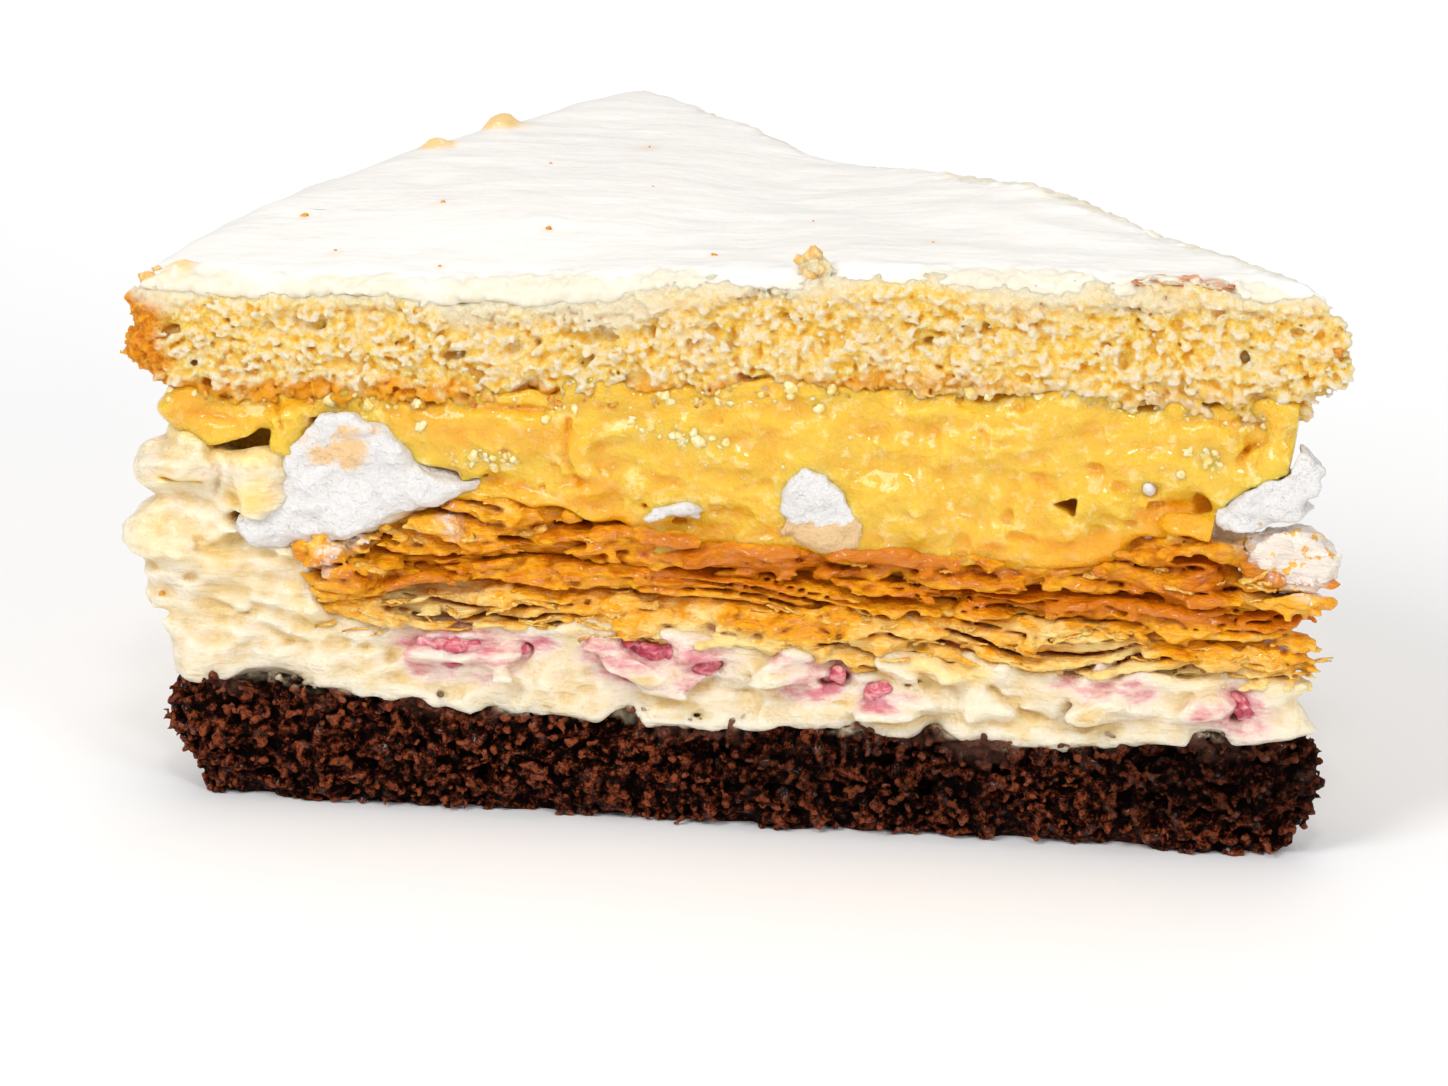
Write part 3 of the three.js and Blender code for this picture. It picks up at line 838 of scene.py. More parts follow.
class Wire:
    """A value inside a material; arithmetic on it adds Math nodes."""

    def __init__(self, paint: "Paint", socket: bpy.types.NodeSocket) -> None:
        """Wrap an output socket."""
        self.paint = paint
        self.socket = socket

    def math(self, operation: str, *others: "Wire | float", swapped: bool = False) -> "Wire":
        """Join this value and others in one Math node.

        Args:
            operation: the Math node's operation.
            others: the other values or numbers.
            swapped: put this value second.

        Returns:
            The node's result.
        """
        terms = [self, *others]
        if swapped:
            terms[0], terms[1] = terms[1], terms[0]
        node = self.paint.node("ShaderNodeMath", {"operation": operation}, dict(enumerate(terms)))
        return Wire(self.paint, node.outputs[0])

    def __add__(self, other: "Wire | float") -> "Wire":
        """Sum."""
        return self.math("ADD", other)

    def __sub__(self, other: "Wire | float") -> "Wire":
        """Difference."""
        return self.math("SUBTRACT", other)

    def __rsub__(self, other: float) -> "Wire":
        """Difference with this value taken away."""
        return self.math("SUBTRACT", other, swapped=True)

    def __mul__(self, other: "Wire | float") -> "Wire":
        """Product."""
        return self.math("MULTIPLY", other)

    __radd__ = __add__
    __rmul__ = __mul__

    def limit(self) -> "Wire":
        """This value kept between 0 and 1."""
        kept = self.math("ADD", 0.0)
        kept.socket.node.use_clamp = True
        return kept

    def ease(self, low: float, high: float) -> "Wire":
        """A smooth step of this value from 0 at low to 1 at high.

        Args:
            low: value that gives 0.
            high: value that gives 1.

        Returns:
            The step.
        """
        node = self.paint.node("ShaderNodeMapRange", {"interpolation_type": "SMOOTHSTEP"},
                               {"Value": self, "From Min": low, "From Max": high})
        return Wire(self.paint, node.outputs["Result"])


class Paint:
    """A node material being put together."""

    def __init__(self, name: str) -> None:
        """Start an empty material.

        Args:
            name: the finish's name.
        """
        self.material = bpy.data.materials.new(name)
        self.material.use_nodes = True
        self.tree = self.material.node_tree
        self.tree.nodes.clear()

    def node(self, kind: str, settings: dict[str, object], inputs: dict[str | int, object]) -> bpy.types.Node:
        """Add any node.

        Args:
            kind: the node's type.
            settings: its properties, which are set first.
            inputs: values or wires for its sockets.

        Returns:
            The node.
        """
        node = self.tree.nodes.new(kind)
        for key, value in settings.items():
            if key == "stops":
                self.set_stops(node.color_ramp, value)
            else:
                setattr(node, key, value)
        for key, value in inputs.items():
            if isinstance(value, Wire):
                self.tree.links.new(value.socket, node.inputs[key])
            elif isinstance(value, tuple) and len(value) == 3 and node.inputs[key].type == "RGBA":
                node.inputs[key].default_value = (*value, 1.0)
            else:
                node.inputs[key].default_value = value
        return node

    @staticmethod
    def set_stops(ramp: bpy.types.ColorRamp, stops: Sequence[tuple[float, Colour]]) -> None:
        """Fill in a colour ramp.

        Args:
            ramp: the ramp.
            stops: positions with colours.
        """
        while len(ramp.elements) < len(stops):
            ramp.elements.new(0.5)
        for element, (place, colour) in zip(ramp.elements, stops):
            element.position = place
            element.color = (*colour, 1.0)

    def value(self, name: str) -> Wire:
        """A value that was stored on the mesh's points."""
        node = self.node("ShaderNodeAttribute", {"attribute_name": name}, {})
        return Wire(self, node.outputs["Fac"])

    def place(self, stretch: Colour = (1.0, 1.0, 1.0)) -> Wire:
        """The place on the piece in metres, stretched for streaks.

        Args:
            stretch: factor for each axis.

        Returns:
            The place.
        """
        where = Wire(self, self.node("ShaderNodeTexCoord", {}, {}).outputs["Object"])
        if stretch == (1.0, 1.0, 1.0):
            return where
        node = self.node("ShaderNodeVectorMath", {"operation": "MULTIPLY"}, {0: where, 1: stretch})
        return Wire(self, node.outputs[0])

    def noise(self, size: float, detail: float = 2.0, roughness: float = 0.5,
              stretch: Colour = (1.0, 1.0, 1.0), twist: float = 0.0) -> Wire:
        """Cloudy noise.

        Args:
            size: width of its blobs in millimetres.
            detail: number of finer layers.
            roughness: strength of the finer layers.
            stretch: factor for each axis.
            twist: distortion.

        Returns:
            A value from 0 to 1.
        """
        inputs = {"Vector": self.place(stretch), "Scale": 1000.0 / size, "Detail": detail,
                  "Roughness": roughness, "Distortion": twist}
        return Wire(self, self.node("ShaderNodeTexNoise", {}, inputs).outputs["Fac"])

    def cells(self, size: float) -> Wire:
        """Distance to the nearest of scattered points.

        Args:
            size: distance between points in millimetres.

        Returns:
            The distance, about 0 to 1.
        """
        node = self.node("ShaderNodeTexVoronoi", {}, {"Vector": self.place(), "Scale": 1000.0 / size})
        return Wire(self, node.outputs["Distance"])

    def mix(self, factor: Wire | float, first: Wire | Colour, second: Wire | Colour) -> Wire:
        """Blend two colours.

        Args:
            factor: share of the second.
            first: colour at 0.
            second: colour at 1.

        Returns:
            The colour.
        """
        node = self.node("ShaderNodeMix", {"data_type": "RGBA"}, {0: factor, 6: first, 7: second})
        return Wire(self, node.outputs[2])

    def ramp(self, value: Wire, stops: Sequence[tuple[float, Colour]]) -> Wire:
        """A colour for each value.

        Args:
            value: from 0 to 1.
            stops: positions with colours.

        Returns:
            The colour.
        """
        node = self.node("ShaderNodeValToRGB", {"stops": stops}, {0: value})
        return Wire(self, node.outputs["Color"])

    def bump(self, height: Wire, depth: float, normal: Wire | None = None) -> Wire:
        """Fine relief.

        Args:
            height: the relief from 0 to 1.
            depth: height of the relief in millimetres.
            normal: relief that this one lies on.

        Returns:
            The bent normal.
        """
        inputs = {"Height": height, "Strength": 1.0, "Distance": depth * MM}
        if normal is not None:
            inputs["Normal"] = normal
        return Wire(self, self.node("ShaderNodeBump", {}, inputs).outputs["Normal"])

    def finish(self, piece: bpy.types.Object, inputs: dict[str, object]) -> None:
        """Close the material with its shader and put it on a piece.

        Args:
            piece: the piece that wears it.
            inputs: values and wires of the shader's sockets.
        """
        shader = self.node("ShaderNodeBsdfPrincipled", {}, inputs)
        output = self.node("ShaderNodeOutputMaterial", {}, {})
        self.tree.links.new(shader.outputs[0], output.inputs[0])
        piece.data.materials.clear()
        piece.data.materials.append(self.material)


def translucent(weight: float, radius: Colour, scale: float) -> dict[str, object]:
    """Shader inputs of stuff that light wanders through.

    Args:
        weight: share of the light that does.
        radius: how far it goes in red, green and blue.
        scale: the factor of these distances in metres.

    Returns:
        Names and values of the inputs.
    """
    return {"Subsurface Weight": weight, "Subsurface Radius": radius, "Subsurface Scale": scale}


@dataclass(frozen=True)
class SpongeFinish:
    """Pale yellow crumb, lighter on crumbs that stand out and with painted ochre shade in its pits, creases
    and pores, a browned rim and underside, and a top that has drunk the glaze.
    """

    crumb: Colour = (0.90, 0.765, 0.60)
    body: Colour = (0.96, 0.65, 0.13)
    # Painted shade for pits, creases and pores.
    pit_shade: Colour = (0.97, 0.45, 0.005)
    crust: Colour = (0.90, 0.37, 0.015)
    burnt: Colour = (0.62, 0.17, 0.005)
    soaked: Colour = (0.87, 0.76, 0.54)

    def dress(self, piece: bpy.types.Object) -> None:
        """Give a piece this finish.

        Args:
            piece: a crumb mesh with hollow, crease, under, crust and soak values.
        """
        p = Paint("vanilla_sponge_crumb")
        fine = p.noise(0.6, 4.0, 0.7)
        # Painted light and shade: pale on crumbs that stand out, deep ochre in hollows and creases, and small
        # round pores darkened the same way.
        depth = p.value("hollow") * 0.45 + p.value("crease") * 0.7 + (fine - 0.5) * 1.2
        colour = p.ramp(depth.ease(0.22, 1.1), [(0.0, self.crumb), (0.5, self.body), (1.0, self.pit_shade)])
        colour = p.mix(p.noise(6.0).ease(0.45, 0.75) * 0.25, colour, self.crumb)
        colour = p.mix(p.cells(1.3).ease(0.2, 0.1) * 0.7, colour, self.pit_shade)
        browned = p.mix(fine.ease(0.35, 0.7), self.crust, self.burnt)
        patchy = p.noise(3.0, 3.0, 0.65)
        colour = p.mix((p.value("under") * patchy.ease(0.25, 0.5)).limit(), colour, self.crust)
        colour = p.mix((p.value("crust") * (patchy * 0.6 + 0.75)).limit(), colour, browned)
        colour = p.mix(p.value("soak") * (1.15 - p.value("crease") * 0.5), colour, self.soaked)
        p.finish(piece, {"Base Color": colour, "Roughness": 0.4, "Normal": p.bump(fine, 0.7),
                         "Specular IOR Level": 0.2, **translucent(0.7, (1.0, 0.85, 0.55), 0.0014)})


@dataclass(frozen=True)
class ChocolateFinish:
    """Dark moist crumb, lighter on crumbs that stand out and with painted shade, almost black, in its pits and
    creases, with cream rubbed along its top edge.
    """

    crumb: Colour = (0.37, 0.092, 0.034)
    body: Colour = (0.125, 0.022, 0.007)
    shade: Colour = (0.030, 0.005, 0.0015)
    # Painted near-black shade for pits and creases.
    pit_shade: Colour = (0.002, 0.0005, 0.0003)
    damp: Colour = (0.17, 0.075, 0.05)
    cream: Colour = (0.80, 0.66, 0.45)

    def dress(self, piece: bpy.types.Object) -> None:
        """Give a piece this finish.

        Args:
            piece: a crumb mesh with hollow, crease, wet, damp and smear values.
        """
        p = Paint("chocolate_crumb")
        fine = p.noise(0.45, 4.0, 0.75)
        depth = p.value("hollow") * 0.5 + p.value("crease") * 0.7 + (fine - 0.5) * 1.5
        # Painted light and shade: crumb on what stands out, then body, shade and the near-black colour deeper
        # in creases and hollows.
        stops = [(0.0, self.crumb), (0.29, self.body), (0.48, self.shade), (0.66, self.pit_shade)]
        colour = p.ramp(depth.ease(0.2, 1.0), stops)
        # Wet crumb on the right is darkened with the same near-black colour.
        colour = p.mix(p.value("wet") * 0.6, colour, self.pit_shade)
        cloud = p.noise(2.4, 3.0, 0.6)
        colour = p.mix(p.value("damp") * cloud.ease(0.35, 0.65) * 0.6, colour, self.damp)
        colour = p.mix((p.value("smear") * cloud.ease(0.62, 0.4)).limit(), colour, self.cream)
        moist = p.noise(0.9).ease(0.54, 0.66) * p.value("crease").ease(0.6, 0.4) * 0.6
        p.finish(piece, {"Base Color": colour, "Roughness": 0.55, "Normal": p.bump(fine, 0.8),
                         "Specular IOR Level": 0.05, "Coat Weight": moist, "Coat Roughness": 0.08})


@dataclass(frozen=True)
class CreamFinish:
    """Ivory whipped cream, pinked where berries lie in it."""

    cream: Colour = (0.82, 0.735, 0.57)
    shade: Colour = (0.77, 0.57, 0.25)
    blush: Colour = (0.86, 0.70, 0.62)
    pink: Colour = (0.66, 0.20, 0.25)
    yolk: Colour = (0.93, 0.66, 0.20)

    def dress(self, piece: bpy.types.Object) -> None:
        """Give a piece this finish.

        Args:
            piece: a cream mesh with hollow, stain and yolk values.
        """
        p = Paint("whipped_cream")
        hollow = p.value("hollow") * 1.4 + (p.noise(1.6, 3.0) - 0.5) * 0.5
        cloud = (p.noise(6.0, 3.0, 0.6) - 0.5) * 1.1
        colour = p.mix((hollow + cloud).ease(0.45, 1.05), self.cream, self.shade)
        colour = p.mix(p.value("yolk") * 0.8, colour, self.yolk)
        stain = p.value("stain") + (p.noise(2.2, 4.0, 0.65, (0.6, 0.6, 1.8)) - 0.5) * 2.4
        colour = p.mix(stain.ease(0.1, 0.6) * 0.8, colour, self.blush)
        colour = p.mix(stain.ease(0.5, 1.3) * 0.95, colour, self.pink)
        drag = p.noise(1.5, 3.0, 0.55, (0.5, 0.5, 2.0))
        relief = p.bump(p.noise(0.6), 0.3, p.bump(drag, 0.5))
        p.finish(piece, {"Base Color": colour, "Roughness": 0.3, "Normal": relief,
                         "Specular IOR Level": 0.4, **translucent(0.7, (1.0, 0.9, 0.7), 0.002)})


@dataclass(frozen=True)
class PastryFinish:
    """Baked leaves that run from pale gold to caramel, wet where the custard soaks in, with painted dark shade
    in the gaps between them.
    """

    name: str
    pale: Colour = (0.96, 0.74, 0.31)
    gold: Colour = (0.95, 0.45, 0.012)
    caramel: Colour = (0.68, 0.20, 0.003)
    # Painted shade for the hollows between leaves.
    gap: Colour = (0.30, 0.034, 0.001)
    custard: Colour = (0.93, 0.54, 0.06)
    sugar: Colour = (0.9, 0.86, 0.82)
    gloss: float = 0.1

    def dress(self, piece: bpy.types.Object) -> None:
        """Give a piece this finish.

        Args:
            piece: a leaf mesh with hollow, tone, custard and sugar values.
        """
        p = Paint(self.name)
        fine = p.noise(1.1, 4.0, 0.65, (0.7, 0.7, 1.6))
        tone = p.value("tone") + (fine - 0.5) * 1.5
        colour = p.ramp(tone.limit(), [(0.0, self.pale), (0.5, self.gold), (1.0, self.caramel)])
        hollow = p.value("hollow") + (fine - 0.5) * 0.15
        colour = p.mix(p.value("custard") * 0.75, colour, self.custard)
        # Painted shade: hollows between the leaves darken towards the gap colour.
        colour = p.mix(hollow.ease(0.55, 0.84), colour, self.gap)
        dust = (p.value("sugar") * p.noise(1.6, 4.0, 0.7).ease(0.42, 0.56)).limit()
        colour = p.mix(dust * 0.85, colour, self.sugar)
        relief = p.bump(p.noise(0.7, 4.0, 0.65, (0.5, 0.5, 1.6)), 0.6)
        p.finish(piece, {"Base Color": colour, "Roughness": self.gloss + 0.3 * fine, "Normal": relief,
                         "Coat Weight": fine.ease(0.45, 0.6) * 0.9, "Coat Roughness": 0.06,
                         "Specular IOR Level": 0.3, **translucent(0.3, (1.0, 0.8, 0.5), 0.001)})


@dataclass(frozen=True)
class CustardFinish:
    """Glossy set custard that lets light in, with painted deep orange shade in its hollows, under the sponge
    and where it meets the pastry.
    """

    yellow: Colour = (0.81, 0.525, 0.04)
    pale: Colour = (0.90, 0.68, 0.24)
    # Painted deep orange shade.
    deep: Colour = (0.84, 0.385, 0.003)

    def dress(self, piece: bpy.types.Object) -> None:
        """Give a piece this finish.

        Args:
            piece: a custard mesh with hollow and amber values.
        """
        p = Paint("custard")
        cloud = p.noise(5.0, 3.0, 0.55)
        # Painted shade: hollows, seams under the sponge and along the pastry, and the listed patches turn deep
        # orange.
        amount = p.value("amber") * 0.8 + p.value("hollow").ease(0.47, 0.72) * 0.8 + (cloud - 0.48) * 1.6
        colour = p.mix(p.noise(1.6, 4.0, 0.7).ease(0.52, 0.66), self.yellow, self.pale)
        colour = p.mix(amount.limit(), colour, self.deep)
        relief = p.bump(p.noise(0.8, 3.0, 0.65), 0.5, p.bump(p.noise(2.6), 0.8))
        gloss = 0.08 + p.noise(2.0, 3.0, 0.6).ease(0.4, 0.7) * 0.35
        p.finish(piece, {"Base Color": colour, "Roughness": gloss, "Normal": relief, "Coat Weight": 0.5,
                         "Coat Roughness": 0.04, "Specular IOR Level": 0.35,
                         **translucent(0.9, (1.0, 0.8, 0.5), 0.002)})


@dataclass(frozen=True)
class GlazeFinish:
    """Satin white sugar glaze with faint drag streaks."""

    white: Colour = (0.87, 0.837, 0.79)
    thin: Colour = (0.76, 0.70, 0.56)
    speck: Colour = (0.85, 0.42, 0.16)
    crumb: Colour = (0.84, 0.56, 0.22)
    burnt: Colour = (0.55, 0.18, 0.05)

    def dress(self, piece: bpy.types.Object) -> None:
        """Give a piece this finish.

        Args:
            piece: a glaze mesh with thin, halo, bit and burnt values.
        """
        p = Paint("sugar_glaze")
        colour = p.mix(p.value("thin") * p.noise(1.5, 3.0).ease(0.1, 0.5), self.white, self.thin)
        colour = p.mix(p.value("halo") * 0.35, colour, self.speck)
        colour = p.mix(p.value("bit") * p.noise(1.2, 3.0, 0.6).ease(0.2, 0.5), colour, self.crumb)
        brown = (p.value("burnt") * p.noise(2.0, 4.0, 0.6, (0.5, 1.0, 1.0)).ease(0.42, 0.56)).limit()
        colour = p.mix(brown * 0.8, colour, self.burnt)
        streak = p.noise(6.0, 3.0, 0.5, (0.3, 1.4, 1.0))
        relief = p.bump(p.noise(2.5, 3.0), 0.2, p.bump(streak, 0.4))
        p.finish(piece, {"Base Color": colour, "Roughness": 0.4, "Normal": relief,
                         "Specular IOR Level": 0.25, **translucent(0.35, (1.0, 0.85, 0.65), 0.0015)})


@dataclass(frozen=True)
class MeringueFinish:
    """Dry white meringue with a chalky break."""

    white: Colour = (0.82, 0.80, 0.785)
    shade: Colour = (0.66, 0.61, 0.57)
    smear: Colour = (0.88, 0.55, 0.22)
    base: Colour = (0.80, 0.55, 0.29)

    def dress(self, piece: bpy.types.Object) -> None:
        """Give a piece this finish.

        Args:
            piece: a meringue mesh with hollow, smear and base values.
        """
        p = Paint("meringue")
        colour = p.mix(p.value("hollow").ease(0.5, 0.8), self.white, self.shade)
        smear = (p.value("smear") + (p.noise(2.5, 4.0, 0.65) - 0.5) * 2.4).ease(0.35, 1.0)
        colour = p.mix(smear * p.value("smear").ease(0.0, 0.3) * 0.85, colour, self.smear)
        colour = p.mix((p.value("base") + (p.noise(1.4, 3.0) - 0.5) * 2.2).ease(0.4, 0.6), colour, self.base)
        relief = p.bump(p.noise(0.8, 4.0, 0.7), 0.6, p.bump(p.noise(2.2, 3.0, 0.6, twist=1.0), 0.6))
        p.finish(piece, {"Base Color": colour, "Roughness": 0.55, "Normal": relief,
                         "Specular IOR Level": 0.3, **translucent(0.15, (1.0, 0.9, 0.8), 0.001)})


@dataclass(frozen=True)
class BerryFinish:
    """Soft red fruit, streaked and bleeding into the cream."""

    flesh: Colour = (0.62, 0.13, 0.18)
    deep: Colour = (0.34, 0.02, 0.05)
    pale: Colour = (0.84, 0.50, 0.48)

    def dress(self, piece: bpy.types.Object) -> None:
        """Give a piece this finish.

        Args:
            piece: a berry mesh.
        """
        p = Paint("berry_flesh")
        streak = p.noise(1.4, 4.0, 0.6, (0.8, 0.8, 1.5), 0.6)
        colour = p.ramp(streak.ease(0.3, 0.72), [(0.0, self.deep), (0.45, self.flesh), (1.0, self.pale)])
        relief = p.bump(p.noise(0.7, 3.0, 0.6), 0.2)
        p.finish(piece, {"Base Color": colour, "Roughness": 0.28, "Normal": relief,
                         "Specular IOR Level": 0.5, **translucent(0.5, (1.0, 0.3, 0.3), 0.002)})


@dataclass(frozen=True)
class FloorFinish:
    """Plain pale studio floor."""

    white: Colour = (0.92, 0.915, 0.915)
    cloud: float = 0.985

    def dress(self, piece: bpy.types.Object) -> None:
        """Give the floor this finish.

        Args:
            piece: the floor.
        """
        p = Paint("studio_floor")
        grey = tuple(c * self.cloud for c in self.white)
        colour = p.mix(p.noise(60.0), self.white, grey)
        p.finish(piece, {"Base Color": colour, "Roughness": 0.6, "Specular IOR Level": 0.2})


# Layers


@dataclass
class Layer:
    """What every layer of the slice shares: its solids, its clay and the way it joins the model."""

    nodes: tuple[str, ...]
    slot: str
    pitch: float = 0.3
    target: int = 168_000
    rolls: tuple[tuple[Path, float], ...] = ()
    dents: tuple[tuple[Path, float, float], ...] = ()

    def roll(self, clay: Clay, out: float, flat: float, blend: float) -> None:
        """Lay the layer's rolls on its front cut.

        Args:
            clay: the layer's clay.
            out: how far their middles stand out of the cut.
            flat: how many times deeper than high they are.
            blend: width of the fillets at their feet.
        """
        for path, radius in self.rolls:
            clay.pile(path, radius, out, flat, blend)

    def dent(self, clay: Clay) -> None:
        """Press the layer's dents into its front cut."""
        for path, radius, amount in self.dents:
            clay.press(path, radius, amount)

    def settle(self, piece: bpy.types.Object) -> None:
        """Let a finished piece ride on the model and stand for its solids.

        Args:
            piece: the dressed piece.
        """
        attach(piece, "root")
        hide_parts(*self.nodes)
        log.info("%s stands for %s", piece.name, ", ".join(self.nodes))


@dataclass
class ChocolateBase(Layer):
    """The dark sponge at the bottom."""

    nodes: tuple[str, ...] = ("chocolate_sponge",)
    slot: str = "chocolate_sponge"
    pitch: float = 0.26

    def build(self) -> None:
        """Build and dress the chocolate crumb."""
        clay = Clay(self.nodes, self.pitch)
        clay.meet("cream", amount=0.3)
        clay.swell(0.25 * clay.grain(3.0, 11) - 1.7 * ease(0.8, 1.8, clay.grain((2.0, 2.0, 1.4), 14)))
        # Clumps, grains and fine crumb stand out in turn, each with creases round it.
        clumps = clay.cells(2.2, 12, 0.7)
        grains = clay.cells((1.05, 1.05, 0.95), 13, 0.3)
        clay.swell(1.5 * (0.45 - clumps) + 1.9 * (0.5 - grains))
        clay.swell(0.7 * (0.5 - clay.cells(0.62, 17, 0.1)) - 0.15)
        clay.pile([(102.2, 12.6), (102.8, 13.6), (103.3, 14.8)], 0.35, 0.3, 1.0, 0.3)
        clay.pile([(101.8, 11.6), (103.2, 12.2)], 0.8, 0.2, 1.2, 0.5)
        clay.pile([(112.5, 14.0), (115.2, 14.2)], 0.7, -1.0, 1.6, 0.4)
        skin = clay.mesh("chocolate_crumb", self.target)
        x, z = skin.places[:, 0] - CORNER[0], skin.places[:, 2]
        skin.mark("hollow", skin.hollow(0.6))
        skin.mark("crease", skin.read(0.45 * clumps + 0.55 * grains))
        under = skin.near("cream")
        damp = ease(2.6, 0.3, under - 0.8 * skin.noise((4.0, 4.0, 2.0), 15))
        skin.mark("damp", np.maximum(damp, 0.9 * skin.patch([(11.5, 10.8)], 1.3, 0.8)))
        skin.mark("smear", ease(0.9, 0.1, under - 0.35 * skin.noise((2.0, 2.0, 1.4), 18)))
        skin.mark("wet", ease(55.0, 100.0, x + 14 * skin.noise(9.0, 16)) * ease(2.0, 5.0, z))
        ChocolateFinish().dress(skin.object)
        self.settle(skin.object)


@dataclass
class CreamFilling(Layer):
    """Whipped cream over the base and up the rim."""

    nodes: tuple[str, ...] = ("cream",)
    slot: str = "cream"
    pitch: float = 0.33
    target: int = 98_000
    dents: tuple[tuple[Path, float, float], ...] = (
        (((-7.5, 31.6), (-3.0, 32.4), (0.5, 31.4), (3.0, 30.2)), 0.9, 0.5),
        (((-8.0, 24.6), (-4.0, 25.0), (1.0, 23.0), (8.0, 22.4)), 0.9, 0.4),
        (((0.4, 38.0), (1.6, 35.5), (0.6, 33.0)), 0.8, 0.8),
        (((1.0, 19.2), (6.0, 18.8), (10.0, 17.2)), 1.1, 0.5),
        (((-4.0, 28.0), (2.0, 26.6), (7.0, 26.8)), 0.7, 0.4),
        (((54.0, 16.6), (66.0, 16.4), (75.0, 15.4)), 0.45, 0.35),
        (((50.0, 14.9), (62.0, 14.3), (72.0, 14.0)), 0.4, 0.3),
        (((82.0, 16.6), (86.0, 14.0), (90.0, 13.2)), 0.6, 0.4),
    )
    rolls: tuple[tuple[Path, float], ...] = (
        (((-6.6, 28.4), (-4.0, 28.0)), 1.5),
        (((1.0, 20.5), (5.0, 20.6)), 0.5),
        (((5.0, 33.0), (6.0, 33.4)), 2.1),
        (((5.6, 36.6), (6.6, 36.8)), 1.6),
        (((71.5, 18.6), (74.0, 17.0), (76.0, 14.2)), 1.1),
        (((76.0, 18.4), (80.0, 17.6), (83.0, 18.6)), 1.3),
        (((80.0, 15.6), (83.0, 14.6)), 1.2),
    )
    stains: tuple[tuple[Path, float, float], ...] = (
        (((24.0, 19.4), (33.0, 18.6)), 1.4, 0.85),
        (((41.0, 18.4), (53.5, 18.8)), 2.0, 0.85),
        (((60.0, 18.7), (68.0, 18.2)), 0.9, 0.85),
        (((69.0, 15.6), (74.0, 15.2)), 0.8, 0.85),
        (((89.0, 17.6), (98.0, 17.2)), 1.0, 0.85),
        (((104.0, 15.6), (110.0, 14.2)), 1.6, 0.85),
    )
    yolks: tuple[tuple[Path, float, float], ...] = (
        (((3.6, 33.0), (6.6, 33.8)), 1.6, 0.8),
        (((-4.6, 34.6), (-0.6, 34.3)), 0.4, 1.0),
        (((2.0, 37.8), (7.0, 38.0)), 0.8, 0.9),
        (((74.5, 19.2), (81.0, 18.4)), 1.2, 0.9),
        (((8.0, 28.5), (9.0, 24.0), (10.0, 20.0)), 1.0, 0.4),
        (((-6.0, 29.0), (0.0, 27.0)), 2.2, 0.3),
    )

    def build(self) -> None:
        """Build and dress the cream."""
        clay = Clay(self.nodes, self.pitch)
        berries = [n for n in sorted(frame["nodes"]) if n.startswith("berry")]
        cover = 0.9 * clay.grain((3.0, 3.0, 1.0), 27)
        clay.fill("berry_1", "berry_2", below=cover - 0.3)
        clay.fill(*berries, below=cover - 0.75)
        clay.fill("meringue_left", below=0.5)
        clay.meet("chocolate_sponge", amount=0.6 + 0.25 * clay.grain((1.8, 1.8, 1.4), 28), reach=2.2)
        clay.meet("pastry_lower", "pastry_middle", "pastry_upper", amount=0.6 + 0.3 * clay.grain(1.8, 29))
        clay.meet("custard", "custard_drop", amount=0.5 + 0.2 * clay.grain(2.0, 30))
        self.roll(clay, 0.0, 1.2, 1.6)
        # The wall at the rim has broad folds, and the rest has soft folds, pulled ridges and small pocks.
        wall = ease(16.0, 9.0, rim_depth(clay.x, clay.y))
        clay.swell(wall * 0.65 * (0.5 - clay.cells((6.5, 6.5, 4.6), 26, 2.6)))
        folds = (0.3 + 0.2 * wall) * clay.grain((4.4, 4.4, 2.6), 21)
        clay.swell(folds + 0.24 * clay.grain((2.0, 2.0, 1.3), 22))
        clay.swell(0.4 * (0.8 - np.abs(clay.grain((2.8, 2.8, 1.2), 23))) + 0.1 * clay.grain(0.9, 20))
        clay.swell(-0.4 * ease(2.0, 2.6, clay.grain((1.3, 1.3, 0.9), 19)))
        self.dent(clay)
        clay.slot([(-4.6, 34.6), (-0.6, 34.3)], 0.2, 1.2)
        skin = clay.mesh("whipped_cream", self.target)
        skin.mark("hollow", skin.hollow(1.0))
        bleed = ease(2.6, -0.6, skin.near(*berries) + 0.8 * skin.noise((4.0, 4.0, 1.6), 25))
        skin.mark("stain", skin.over(bleed, self.stains, 1.4))
        yolk = 0.9 * ease(1.0, 0.0, skin.near("custard")) + 0.45 * ease(1.4, 0.0, skin.near("pastry_lower"))
        skin.mark("yolk", skin.over(yolk, self.yolks))
        CreamFinish().dress(skin.object)
        self.settle(skin.object)


